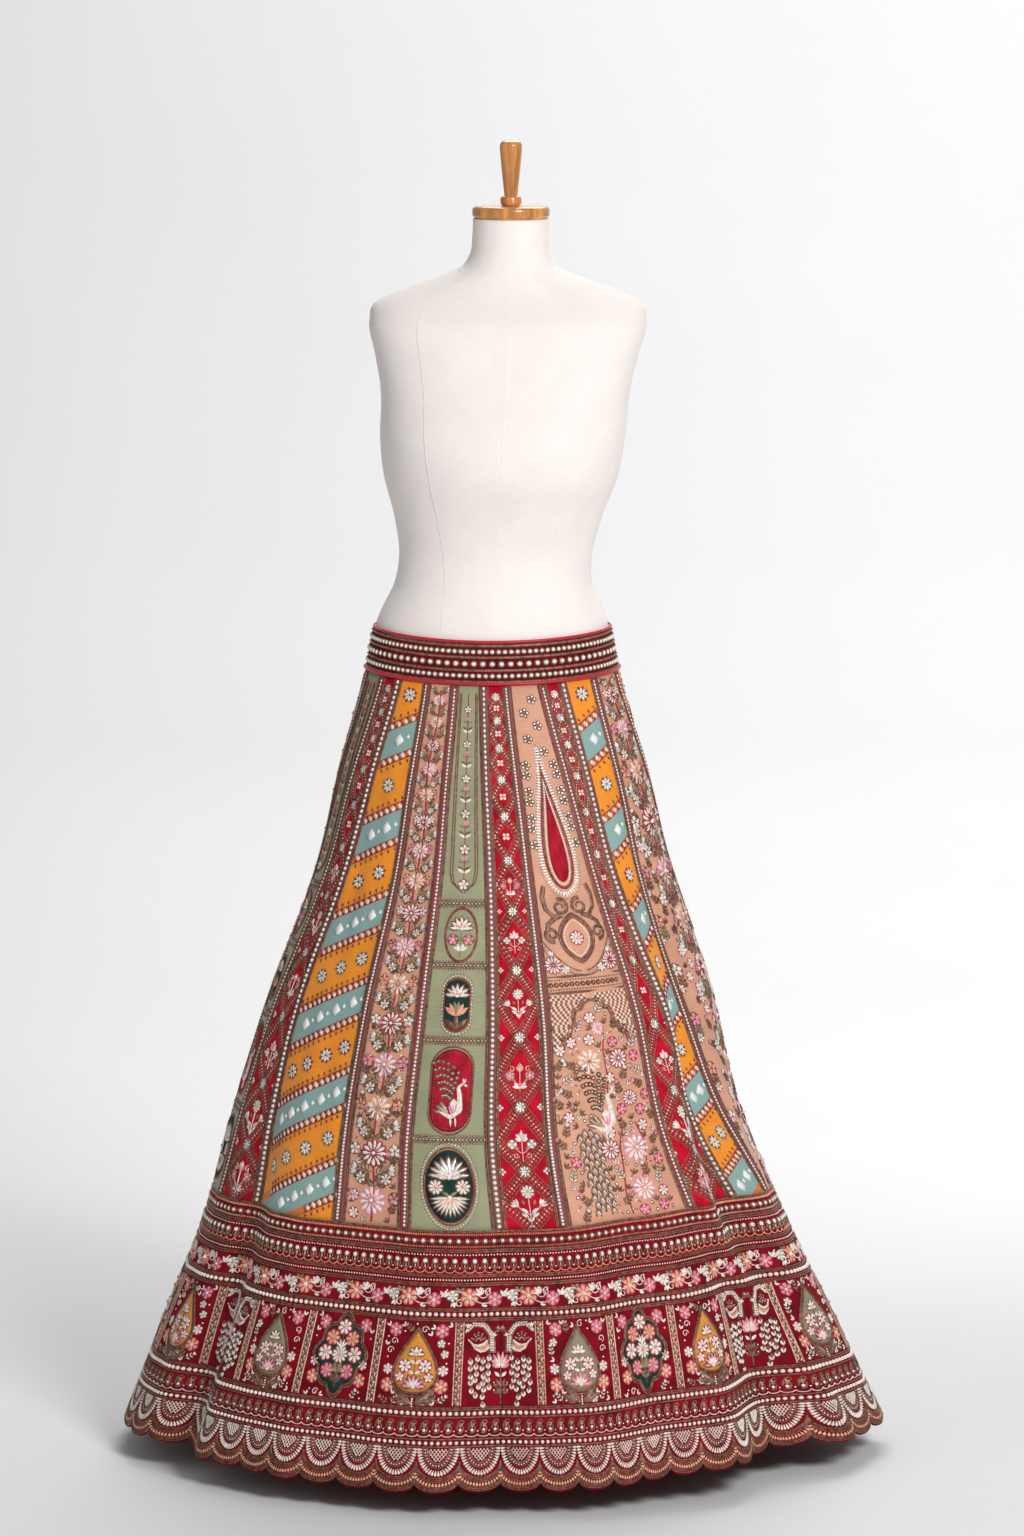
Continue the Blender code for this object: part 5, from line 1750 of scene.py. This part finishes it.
@dataclass
class Sewing:
    """Makes every cut piece of the skirt, in the order a maker joins them."""

    palette: dict
    cell: float = 0.0095
    cloth_thick: float = 0.0015
    velvet_thick: float = 0.0022
    band_thick: float = 0.0025
    tape_half: float = 0.005
    tape_face: float = 0.0013
    tape_thick: float = 0.001
    tape_short: float = 0.0026
    seam_gap: float = 0.0005
    piping: float = 0.0036

    def sew(
        self, name: str, cloth: str, slot: str, angle: Array, level: Array, out: object, flat: Array,
        thick: float, node: str,
    ) -> object:
        """Makes a piece from a grid of angles, levels and lifts, and dresses it.

        Args:
            name: the piece's name.
            cloth: the name of its material in the palette.
            slot: not used.
            angle: degrees round the skirt.
            level: nominal heights, falling from row to row.
            out: how far its outer face stands off the skirt's.
            flat: its places on the flat cloth.
            thick: its wall, inwards.
            node: the node that it stands for.

        Returns:
            The piece.
        """
        angle, level, out = np.broadcast_arrays(angle, level, out)
        points = FORM.points(angle, level, out).reshape(-1, 3)
        piece = mesh_object(name, points, grid_faces(*angle.shape), flat.reshape(-1, 2))
        thicken(piece, thick)
        return settle(piece, self.palette[cloth], slot, node)

    def waistband(self) -> None:
        """The velvet band, joined at the back, and the satin pipings on its edges."""
        columns = 140
        angle = 180.0 + np.linspace(0.06, 359.94, columns)
        edge, half = FORM.band_top + self.seam_gap, 0.5 * self.piping
        below = FORM.waist - half, FORM.waist + half
        for name, node, (low, high), face, bulge, thick in (
            ("waistband_cloth", "waistband", (FORM.waist, FORM.band_top), 0.0, 0.0006, self.band_thick),
            ("piping_top_cord", "waistband_top_piping", (edge, edge + self.piping), 0.0004, 0.0012, 0.0025),
            ("piping_bottom_cord", "waistband_bottom_piping", below, 0.0024, 0.0012, 0.002),
        ):
            cloth, slot = ("band", "border_velvet") if node == "waistband" else ("satin", "piping_satin")
            share = np.linspace(1.0, 0.0, 9)[:, None]
            level = low + (high - low) * share
            out = face + bulge * np.sin(np.pi * share)
            line = FORM.middle(angle, np.full(columns, 0.5 * (low + high)))
            round_length = float(np.linalg.norm(np.diff(line, axis=0), axis=1).sum())
            flat = xyz(round_length * (angle - 180.0) / 360.0, level)
            piece = self.sew(name, cloth, slot, angle, level, out, flat, thick, node)

    def gore(self, index: int) -> None:
        """One gore, cut wider to the hem, and the tape over its left-hand seam."""
        chart = GoreChart(index)
        up = np.linspace(chart.length, 0.0, int(chart.length / self.cell))
        level = FORM.level_at(chart.start + up)
        left, right = FORM.seam(index, level), FORM.seam(index + 1, level)
        widest, width = float(chart.widths.max()), chart.width(up)[:, None]
        inset = 0.5 * self.seam_gap / width
        share = inset + (1.0 - 2.0 * inset) * np.linspace(0.0, 1.0, max(8, int(widest / self.cell)))
        angle = left[:, None] + (right - left)[:, None] * share
        flat = xyz((share - 0.5) * width, up[:, None])
        node = f"gore_{index + 1:02d}_{chart.kind}"
        slot = GORE_SLOTS.get(chart.kind, "peach_silk")
        piece = self.sew(
            f"{node}_cloth", chart.kind, slot, angle, level[:, None], 0.0, flat, self.cloth_thick, node
        )
        self.tape(index, chart)

    def tape(self, index: int, chart: GoreChart) -> None:
        """The tape over a gore's left-hand seam."""
        up = np.linspace(chart.length - self.tape_short, self.seam_gap, int(chart.length / self.cell))
        level = FORM.level_at(chart.start + up)
        across = np.linspace(-self.tape_half, self.tape_half, 5)
        per_metre = (FORM.seam(index + 1, level) - FORM.seam(index, level)) / chart.width(up)
        angle = FORM.seam(index, level)[:, None] + per_metre[:, None] * across
        node = f"seam_tape_{index + 1:02d}"
        piece = self.sew(
            f"{node}_cloth", "tape", "zardozi_tape", angle, level[:, None], self.tape_face,
            xyz(across, up[:, None]), self.tape_thick, node,
        )

    def border(self, section: int) -> None:
        """One velvet section of the border, its lower edge cut in scallops."""
        width = 360.0 / SECTION_COUNT
        start = FIRST_SEAM + section * width
        angle = start + width * shares(109)
        angle[[0, -1]] += np.degrees(0.5 * self.seam_gap / 0.4) * np.array([1, -1])
        edge = FORM.edge(angle, start, 360.0 / SCALLOPS)
        edge[[0, -1]] = FORM.cusp
        top = FORM.border - self.seam_gap
        level = top + (edge - top) * shares(22)[:, None]
        radius = float(FORM.mean_radius(0.18))
        flat = xyz(np.radians(angle - start - 30.0) * radius, FORM.slant(level) - FORM.slant(FORM.border))
        node = f"border_section_{section + 1}"
        piece = self.sew(
            f"{node}_cloth", "border", "border_velvet", angle, level, 0.0, flat, self.velvet_thick, node
        )
        deep = float(FORM.slant(FORM.border) - FORM.slant(FORM.hem))

    def make(self) -> None:
        """Every piece of cloth."""
        self.waistband()
        for index in range(len(FORM.gores)):
            self.gore(index)
        for section in range(SECTION_COUNT):
            self.border(section)


class SeamChart(Chart):
    """Places along a gore's left-hand seam: x across it, narrowing to the waist, y up it."""

    def __init__(self, gore: int) -> None:
        """Borrows the gore's own measures."""
        self.gore = GoreChart(gore)
        self.index = gore

    def spots(self, base: Array, x: Array, y: Array) -> tuple[Array, Array]:
        """The skirt's angle and level at x from the seam and y above the border."""
        level = FORM.level_at(self.gore.start + y)
        left, right = FORM.seam(self.index, level), FORM.seam(self.index + 1, level)
        across = x * (1.0 - 0.38 * np.clip(y / self.gore.length, 0.0, 1.0))
        return left + across * (right - left) / self.gore.width(y), level


@dataclass
class Embroidery:
    """All the needlework, laid gore by gore, seam by seam and row by row."""

    palette: dict

    def gores(self) -> None:
        """Each gore's own design."""
        works = {}
        for index, (kind, *_) in enumerate(FORM.gores):
            fresh = Needlework(f"{kind}_work", GORE_SLOTS.get(kind, "peach_silk"), 0.0001)
            work = works.setdefault(kind, fresh)
            chart = GoreChart(index)
            work.lay(WORK[kind](chart), chart)
        for work in works.values():
            work.make(self.palette)

    def seams(self) -> None:
        """Pearls down each tape between couched cords, in three arrangements by turns."""
        beads = Needlework("seam_beads", "zardozi_tape", 0.0013)
        cords = Needlework("seam_cords", "zardozi_tape", 0.0001)
        for index in range(len(FORM.gores)):
            chart = SeamChart(index)
            up = np.linspace(0.001, chart.gore.length - 0.003, 90)
            on_tape, off_tape = Motif(), Motif()
            arrangement = (index + 1) % 3
            spots = np.arange(0.004, chart.gore.length - 0.005, (0.0066, 0.0042, 0.0048)[arrangement])
            if arrangement == 0:
                on_tape.beads(PEARL, 0, spots, 0.0027, 0.8)
                on_tape.beads(RED, 0.004, np.arange(0.003, chart.gore.length - 0.005, 0.004), 0.0011)
            elif arrangement == 1:
                on_tape.beads(PEARL, -0.0016, spots, 0.0021, 0.8)
                on_tape.beads(DARK, 0.0024, spots, 0.0013, 0.8, 5)
                on_tape.cord(RED, xyz(0.0024, up), 0.003, 0.0004)
            else:
                on_tape.beads(PEARL, 0.0008, spots, 0.0022, 0.8)
                on_tape.cord(RED, xyz(-0.003, up), 0.003, 0.0005)
            for x, width in ((-0.0068, 0.0026), (-0.0088, 0.0018), (0.0068, 0.0026), (0.0088, 0.0018)):
                off_tape.cord(ZARI, xyz(x, up), width, 0.0016)
            beads.lay(on_tape, chart)
            cords.lay(off_tape, chart)
        beads.make(self.palette)
        cords.make(self.palette)

    def waistband(self) -> None:
        """Three rows of ringed pearls between dotted cords."""
        work = Needlework("waistband_work", "border_velvet", 0.0006)
        chart = RoundChart(FORM.waist)
        deep = float(FORM.slant(FORM.band_top) - FORM.slant(FORM.waist))
        for share, radius, count in ((0.2, 0.0026, 120), (0.5, 0.0031, 84), (0.8, 0.0026, 120)):
            y = share * deep
            row = Motif().beads(ZARI, 0, y, 1.45 * radius, 0.35, 8)
            row.beads(PEARL, 0, y, radius, 0.95, 8)
            work.lay(row, chart, 360.0 * np.arange(count) / count)
        for share in (0.05, 0.34, 0.66, 0.95):
            y = share * deep
            reach = math.pi * 0.1345 / 24
            path = [(x, y) for x in np.linspace(-reach, reach, 6)]
            work.lay(Motif().cord(ZARI, path, 0.0034, 0.0012), chart, 15.0 * np.arange(24))
            dots = Motif().beads(PEACH, 0, y, 0.001, 1.8, 5)
            work.lay(dots, chart, 360.0 * np.arange(230) / 230)
        work.make(self.palette)

    def border(self) -> None:
        """The hem border's rows, vine, panels and scallops."""
        design = BorderWork()
        for name, draw in (
            ("border_rows", design.rows),
            ("border_vine", design.vine),
            ("border_panels", design.panels),
            ("border_scallops", design.scallops),
        ):
            work = Needlework(name, "border_velvet", 0.0001)
            draw(work)
            work.make(self.palette)

    def make(self) -> None:
        """All of it."""
        self.gores()
        self.seams()
        self.waistband()
        self.border()


# ----- the dress form


@dataclass
class DressForm:
    """The limbless form: its linen-covered torso and its turned wood."""

    palette: dict
    top: float = 1.502
    # height, half width, half depth, middle's X and Y, squareness
    sections: tuple = (
        (0.7925, 0.145, 0.103, -0.01, 0.0, 2.0), (0.81, 0.154, 0.111, -0.0105, 0.0, 2.0),
        (0.87, 0.156, 0.113, -0.0107, 0.0, 2.0), (0.94, 0.1475, 0.1085, -0.0107, 0.0, 2.0),
        (0.99, 0.1425, 0.1055, -0.0107, 0.0, 2.0), (1.013, 0.14, 0.1035, -0.0107, 0.0, 2.0),
        (1.033, 0.132, 0.099, -0.0107, 0.0, 2.0), (1.057, 0.1205, 0.092, -0.01, -0.001, 2.0),
        (1.09, 0.1165, 0.089, -0.007, -0.003, 2.1), (1.14, 0.125, 0.099, -0.0035, -0.009, 2.2),
        (1.195, 0.142, 0.118, 0.0, -0.016, 2.2), (1.24, 0.148, 0.122, 0.002, -0.016, 2.3),
        (1.29, 0.15, 0.108, 0.005, -0.008, 2.4), (1.34, 0.16, 0.096, 0.007, 0.0, 2.5),
        (1.38, 0.168, 0.086, 0.0085, 0.006, 2.5), (1.402, 0.16, 0.074, 0.009, 0.01, 2.3),
        (1.418, 0.125, 0.066, 0.0095, 0.012, 2.1), (1.431, 0.088, 0.059, 0.01, 0.011, 2.0),
        (1.442, 0.062, 0.053, 0.0105, 0.009, 2.0), (1.456, 0.0505, 0.049, 0.011, 0.006, 2.0),
        (1.48, 0.0465, 0.047, 0.0115, 0.003, 2.0), (1.502, 0.046, 0.047, 0.012, 0.002, 2.0),
    )
    # radius, height, from the finial's top down
    finial: tuple = (
        (0.0, 0.08), (0.007, 0.0795), (0.0115, 0.0775), (0.0137, 0.0735),
        (0.0135, 0.067), (0.0118, 0.048), (0.0098, 0.029), (0.0082, 0.015),
        (0.0082, 0.0125), (0.0118, 0.0112), (0.0132, 0.007), (0.0125, 0.0028),
        (0.0105, 0.0), (0.0, 0.0),
    )

    def skin(self, angle: Array, height: Array, out: Array | float = 0.0) -> Array:
        """Points on the torso: superellipses |cos|^(2/n), |sin|^(2/n) through its sections."""
        table = np.array(self.sections)
        wide, deep, middle_x, middle_y, square = (
            table_curve(table[:, 0], table[:, column], height) for column in range(1, 6)
        )
        around = np.radians(angle)
        across, ahead = np.sin(around), -np.cos(around)
        power = 2.0 / square
        return xyz(middle_x + (wide + out) * np.sign(across) * np.abs(across) ** power,
            middle_y + (deep + out) * np.sign(ahead) * np.abs(ahead) ** power, height)

    def torso(self) -> None:
        """The padded body under its linen, with a closed top and bottom."""
        heights = np.concatenate([np.linspace(0.7925, 1.36, 56), np.linspace(1.364, self.top, 36)])[::-1]
        columns = 96
        angle = 360.0 * np.arange(columns) / columns
        grid = self.skin(angle[None, :], heights[:, None] + 0.0 * angle).reshape(-1, 3)
        flat = xyz(np.radians(angle) * 0.14, heights[:, None]).reshape(-1, 2)
        ends = np.array([grid[:columns].mean(axis=0), grid[-columns:].mean(axis=0)])
        points = np.concatenate([grid, ends])
        faces = grid_faces(len(heights), columns, closed=True)
        here = np.arange(columns)
        after = (here + 1) % columns
        last = (len(heights) - 1) * columns
        top = xyz(np.full(columns, len(grid)), here, after, after)
        low = xyz(np.full(columns, len(grid) + 1), last + after, last + here, last + here)
        caps = np.concatenate([top, low])[:, :3]
        quads = np.concatenate([faces[:, [0, 1, 2]], faces[:, [0, 2, 3]], caps])
        uv = np.vstack([flat, [[0.0, self.top], [0.0, 0.79]]])
        piece = mesh_object("form_torso_cover", points, quads, uv)
        settle(piece, self.palette["linen"], "form_linen", "form_torso")

    def seams(self) -> None:
        """Thin welts where the linen's pieces meet."""
        made = []
        for start, end, drift in (
            (0.0, 0.0, 0.0), (180.0, 180.0, 0.0), (26.0, 34.0, 1.0), (-26.0, -34.0, -1.0),
            (90.0, 90.0, 0.0), (-90.0, -90.0, 0.0), (150.0, 146.0, 0.0), (210.0, 214.0, 0.0),
        ):
            heights = np.linspace(1.012, 1.432 if abs(start) != 90.0 else 1.3, 120)
            share = (heights - heights[0]) / (heights[-1] - heights[0])
            angle = start + (end - start) * share + 6.0 * drift * np.sin(np.pi * share)
            made.append((angle, heights))
        ring = np.linspace(0.0, 360.0, 120)
        made.append((ring, 1.442 - 0.006 * np.cos(np.radians(ring))))
        points, faces, flat, held = [], [], [], 0
        for angle, heights in made:
            step = np.gradient(np.radians(angle)) * 0.13, np.gradient(heights)
            size = np.maximum(np.hypot(*step), 1e-9)
            side = 0.0007 * np.array([step[1] / size, -step[0] / size])
            for share, out in ((-1.0, -0.0004), (0.0, 0.0006), (1.0, -0.0004)):
                moved = angle + np.degrees(share * side[0] / 0.13)
                points.append(self.skin(moved, heights + share * side[1], out))
                flat.append(xyz(moved * 0.0024, heights))
            count = len(angle)
            here = np.arange(count - 1)
            for row in (0, count):
                left = held + row + here
                faces.append(xyz(left, left + count, left + count + 1, left + 1))
            held += 3 * count
        piece = mesh_object("form_seam_welts", *(np.concatenate(part) for part in (points, faces, flat)))
        settle(piece, self.palette["linen"], "form_linen")

    def turned(self, name: str, profile: tuple, place: tuple, node: str) -> None:
        """A turned piece: its profile from the top down, rounded between points, swept round."""
        lengths, point = walk(profile)
        at = np.unique(np.concatenate([lengths, np.linspace(0.0, lengths[-1], 36)]))
        line = point(at)
        columns = 64
        around = circle(columns)
        grid = xyz(place[0] + line[:, 0:1] * np.sin(around), place[1] - line[:, 0:1] * np.cos(around),
            place[2] + line[:, 1:2] + 0.0 * around).reshape(-1, 3)
        piece = mesh_object(name, grid, grid_faces(len(line), columns, closed=True))
        piece.data.set_sharp_from_angle(angle=math.radians(35.0))
        settle(piece, self.palette["wood"], "turned_wood", node)

    def make(self) -> None:
        """The torso, its seams, the cap, the finial and the base; the rest keep their nodes."""
        self.torso()
        self.seams()
        neck = (self.sections[-1][3], self.sections[-1][4])
        cap = [(0.0, 0.015), (0.038, 0.015)]
        for corner in np.radians(np.linspace(90.0, 0.0, 8)):
            cap.append((0.042 + 0.005 * math.cos(corner), 0.01 + 0.005 * math.sin(corner)))
        cap += [(0.047, 0.004), (0.044, 0.0), (0.0, 0.0)]
        self.turned("neck_cap_wood", cap, (*neck, self.top + 0.0003), "neck_cap")
        self.turned("neck_finial_wood", self.finial, (*neck, self.top + 0.0156), "neck_finial")
        base = ((0.0, 0.018), (0.173, 0.018), (0.178, 0.0172), (0.182, 0.0145), (0.185, 0.01))
        self.turned("stand_base_wood", (*base, (0.185, 0.0), (0.0, 0.0)), (0.0, 0.0, 0.0), "stand_base")


# ----- the studio


def studio() -> None:
    """The pale floor and wall, the soft lights and the camera."""
    scene = bpy.context.scene
    lengths, point = walk([(-10.0, 0.0), (2.6, 0.0), (3.4, 0.1), (3.9, 0.45), (4.1, 1.2), (4.15, 7.0)])
    line = point(np.linspace(0.0, lengths[-1], 60))
    across = np.linspace(-10.0, 10.0, 12)
    grid = xyz(across[None, :], line[::-1, 0:1], line[::-1, 1:2] - 0.0002)
    backdrop = mesh_object("studio_backdrop", grid.reshape(-1, 3), grid_faces(60, 12))
    paper = Nodes("backdrop_paper")
    where = paper.add("TexCoord", {}).outputs["Object"]
    tone = paper.mix(paper.noise(where, 2.0, 3.0), rgba((0.77, 0.77, 0.78)), rgba((0.81, 0.81, 0.81)))
    paper.feed(paper.shader, {"Base Color": tone, "Roughness": 0.95, "Specular IOR Level": 0.2})
    paper.bump(paper.noise(where, 400.0, 2.0), 0.05, 0.0005)
    behind = paper.add("NewGeometry", {}).outputs["Backfacing"]
    place = paper.add("SeparateXYZ", {"Vector": where}).outputs
    squares = [paper.math("POWER", part, 2.0) for part in place[:2]]
    away = paper.math("SQRT", paper.math("ADD", *squares))
    gone = paper.math("MAXIMUM", behind, paper.ramp(away, 4.8, 9.0))
    clear = paper.add("BsdfTransparent", {}).outputs[0]
    seen = paper.add("MixShader", {0: gone, 1: paper.shader.outputs[0], 2: clear}).outputs[0]
    paper.material.node_tree.links.new(seen, paper.material.node_tree.nodes["Material Output"].inputs[0])
    backdrop.data.materials.append(paper.material)
    backdrop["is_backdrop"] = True

    world = bpy.data.worlds.new("studio_air")
    world.use_nodes = True
    air = world.node_tree
    air.nodes["Background"].inputs[0].default_value = (1.0, 1.0, 1.0, 1.0)
    looked = air.nodes.new("ShaderNodeLightPath").outputs["Is Camera Ray"]
    strength = air.nodes.new("ShaderNodeMapRange")
    strength.inputs["To Min"].default_value, strength.inputs["To Max"].default_value = 0.27, 0.86
    air.links.new(looked, strength.inputs["Value"])
    air.links.new(strength.outputs[0], air.nodes["Background"].inputs[1])
    scene.world = world
    for name, place, aim, size, power in (
        ("key", (2.3, -5.0, 3.7), (0.0, 0.0, 0.7), 1.6, 248.0),
        ("fill", (-3.6, -3.8, 2.4), (0.0, 0.0, 0.7), 3.0, 14.0),
        ("overhead", (0.4, 2.7, 3.9), (0.0, 0.1, 0.5), 2.2, 90.0),
        ("wall", (1.9, 1.6, 2.3), (2.1, 4.1, 0.8), 1.8, 30.0),
    ):
        light = bpy.data.lights.new(name, "AREA")
        light.size, light.energy = size, power
        lamp = bpy.data.objects.new(name, light)
        lamp.location = place
        toward = np.array(aim) - np.array(place)
        flat = math.hypot(toward[0], toward[1])
        turned = math.atan2(toward[1], toward[0]) - math.pi / 2
        lamp.rotation_euler = (math.atan2(flat, -toward[2]), 0.0, turned)
        scene.collection.objects.link(lamp)
        lamp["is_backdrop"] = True

    lens = bpy.data.cameras.new("camera")
    lens.lens, lens.sensor_width, lens.clip_end = 183.8, 36.0, 60.0
    camera = bpy.data.objects.new("camera", lens)
    camera.location = (0.0, -9.5, 1.96)
    camera.rotation_euler = (math.radians(90.0 - 6.766), 0.0, math.radians(-0.08))
    scene.collection.objects.link(camera)
    camera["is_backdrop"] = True
    scene.camera = camera
    scene.view_settings.view_transform = "Standard"


CLOTHS = {
    "oval": Cloth("sage_silk", (0.33, 0.335, 0.195), Weave.SILK),
    "diamond": Cloth("ruby_velvet", (0.47, 0.004, 0.02), Weave.VELVET),
    "vine": Cloth("peach_silk", (0.68, 0.335, 0.215), Weave.SILK),
    "garden": Cloth("peach_silk_garden", (0.68, 0.335, 0.215), Weave.SILK),
    "border": Cloth("maroon_velvet", (0.19, 0.002, 0.009), Weave.VELVET),
    "band": Cloth("maroon_velvet_band", (0.12, 0.002, 0.007), Weave.VELVET),
    "satin": Cloth("red_satin", (0.56, 0.01, 0.03), Weave.SATIN),
    "tape": Cloth("zari_tape", (0.2, 0.075, 0.055), Weave.SILK),
    "linen": Cloth("cream_linen", (0.93, 0.865, 0.825), Weave.LINEN),
}


@dataclass(frozen=True)
class StripedSilk(Cloth):
    """Mustard silk with slanting blue stripes and an orange trim on each side of them."""

    blue: Colour = (0.27, 0.43, 0.4)
    trim: Colour = (0.7, 0.2, 0.035)
    trim_width: float = 0.0115

    def material(self) -> bpy.types.Material:
        """Colours by the place across the stripes: y less the slope times x, over the period."""
        made, ground = self.nodes()
        where = made.add("UVMap", {}, uv_map="cloth").outputs[0]
        parts = made.add("SeparateXYZ", {"Vector": where}).outputs
        leaned = made.math("SUBTRACT", parts[1], made.math("MULTIPLY", parts[0], STRIPE_SLOPE))
        share = made.math("FRACT", made.math("DIVIDE", leaned, STRIPE_PERIOD))
        width = STRIPE_EDGES[1] / STRIPE_PERIOD
        margin = self.trim_width / STRIPE_PERIOD
        trimmed = made.math("MAXIMUM", made.math("LESS_THAN", share, width + margin),
            made.math("GREATER_THAN", share, 1.0 - margin))
        speckle = made.ramp(made.noise(where, 1500.0, 2.0), 0.3, 0.7)
        blue = made.mix(speckle, rgba(self.blue, 0.8), rgba(self.blue, 1.15))
        colour = made.mix(trimmed, ground, rgba(self.trim))
        colour = made.mix(made.math("LESS_THAN", share, width), colour, blue)
        return self.finish(made, colour)


def palette() -> dict:
    """Every material, by thread, patch or the name of what it covers."""
    made = {part: part.value.material() for part in (*Thread, *Patch)}
    made.update({name: cloth.material() for name, cloth in CLOTHS.items()})
    made["stripe"] = StripedSilk("mustard_silk", (0.96, 0.3, 0.018), Weave.SILK).material()
    made["wood"] = Wood("varnished_wood", (0.66, 0.27, 0.07)).material()
    made["pole"] = Trim("painted_steel", (0.7, 0.69, 0.67), 0.4, 0.0).material()
    return made


def note_size(size: dict, when: str) -> None:
    """Adds the shown object's corners to the size note."""
    size[when] = [[float(part) for part in corner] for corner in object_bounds()]


def main() -> None:
    """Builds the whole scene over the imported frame."""
    logging.basicConfig(level=logging.INFO, format="%(message)s")
    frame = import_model()
    size: dict = {}
    note_size(size, "frame")
    colours = palette()
    plain = ("form_hip_plate", "turned_wood", "wood"), ("stand_pole", "painted_pole", "pole")
    for node, slot, key in plain:
        shown = frame["nodes"][node]
        shown.data.materials.clear()
        shown.data.materials.append(colours[key])
    DressForm(colours).make()
    Sewing(colours).make()
    Embroidery(colours).make()
    studio()
    note_size(size, "dressed")


if __name__ == "__main__":
    main()
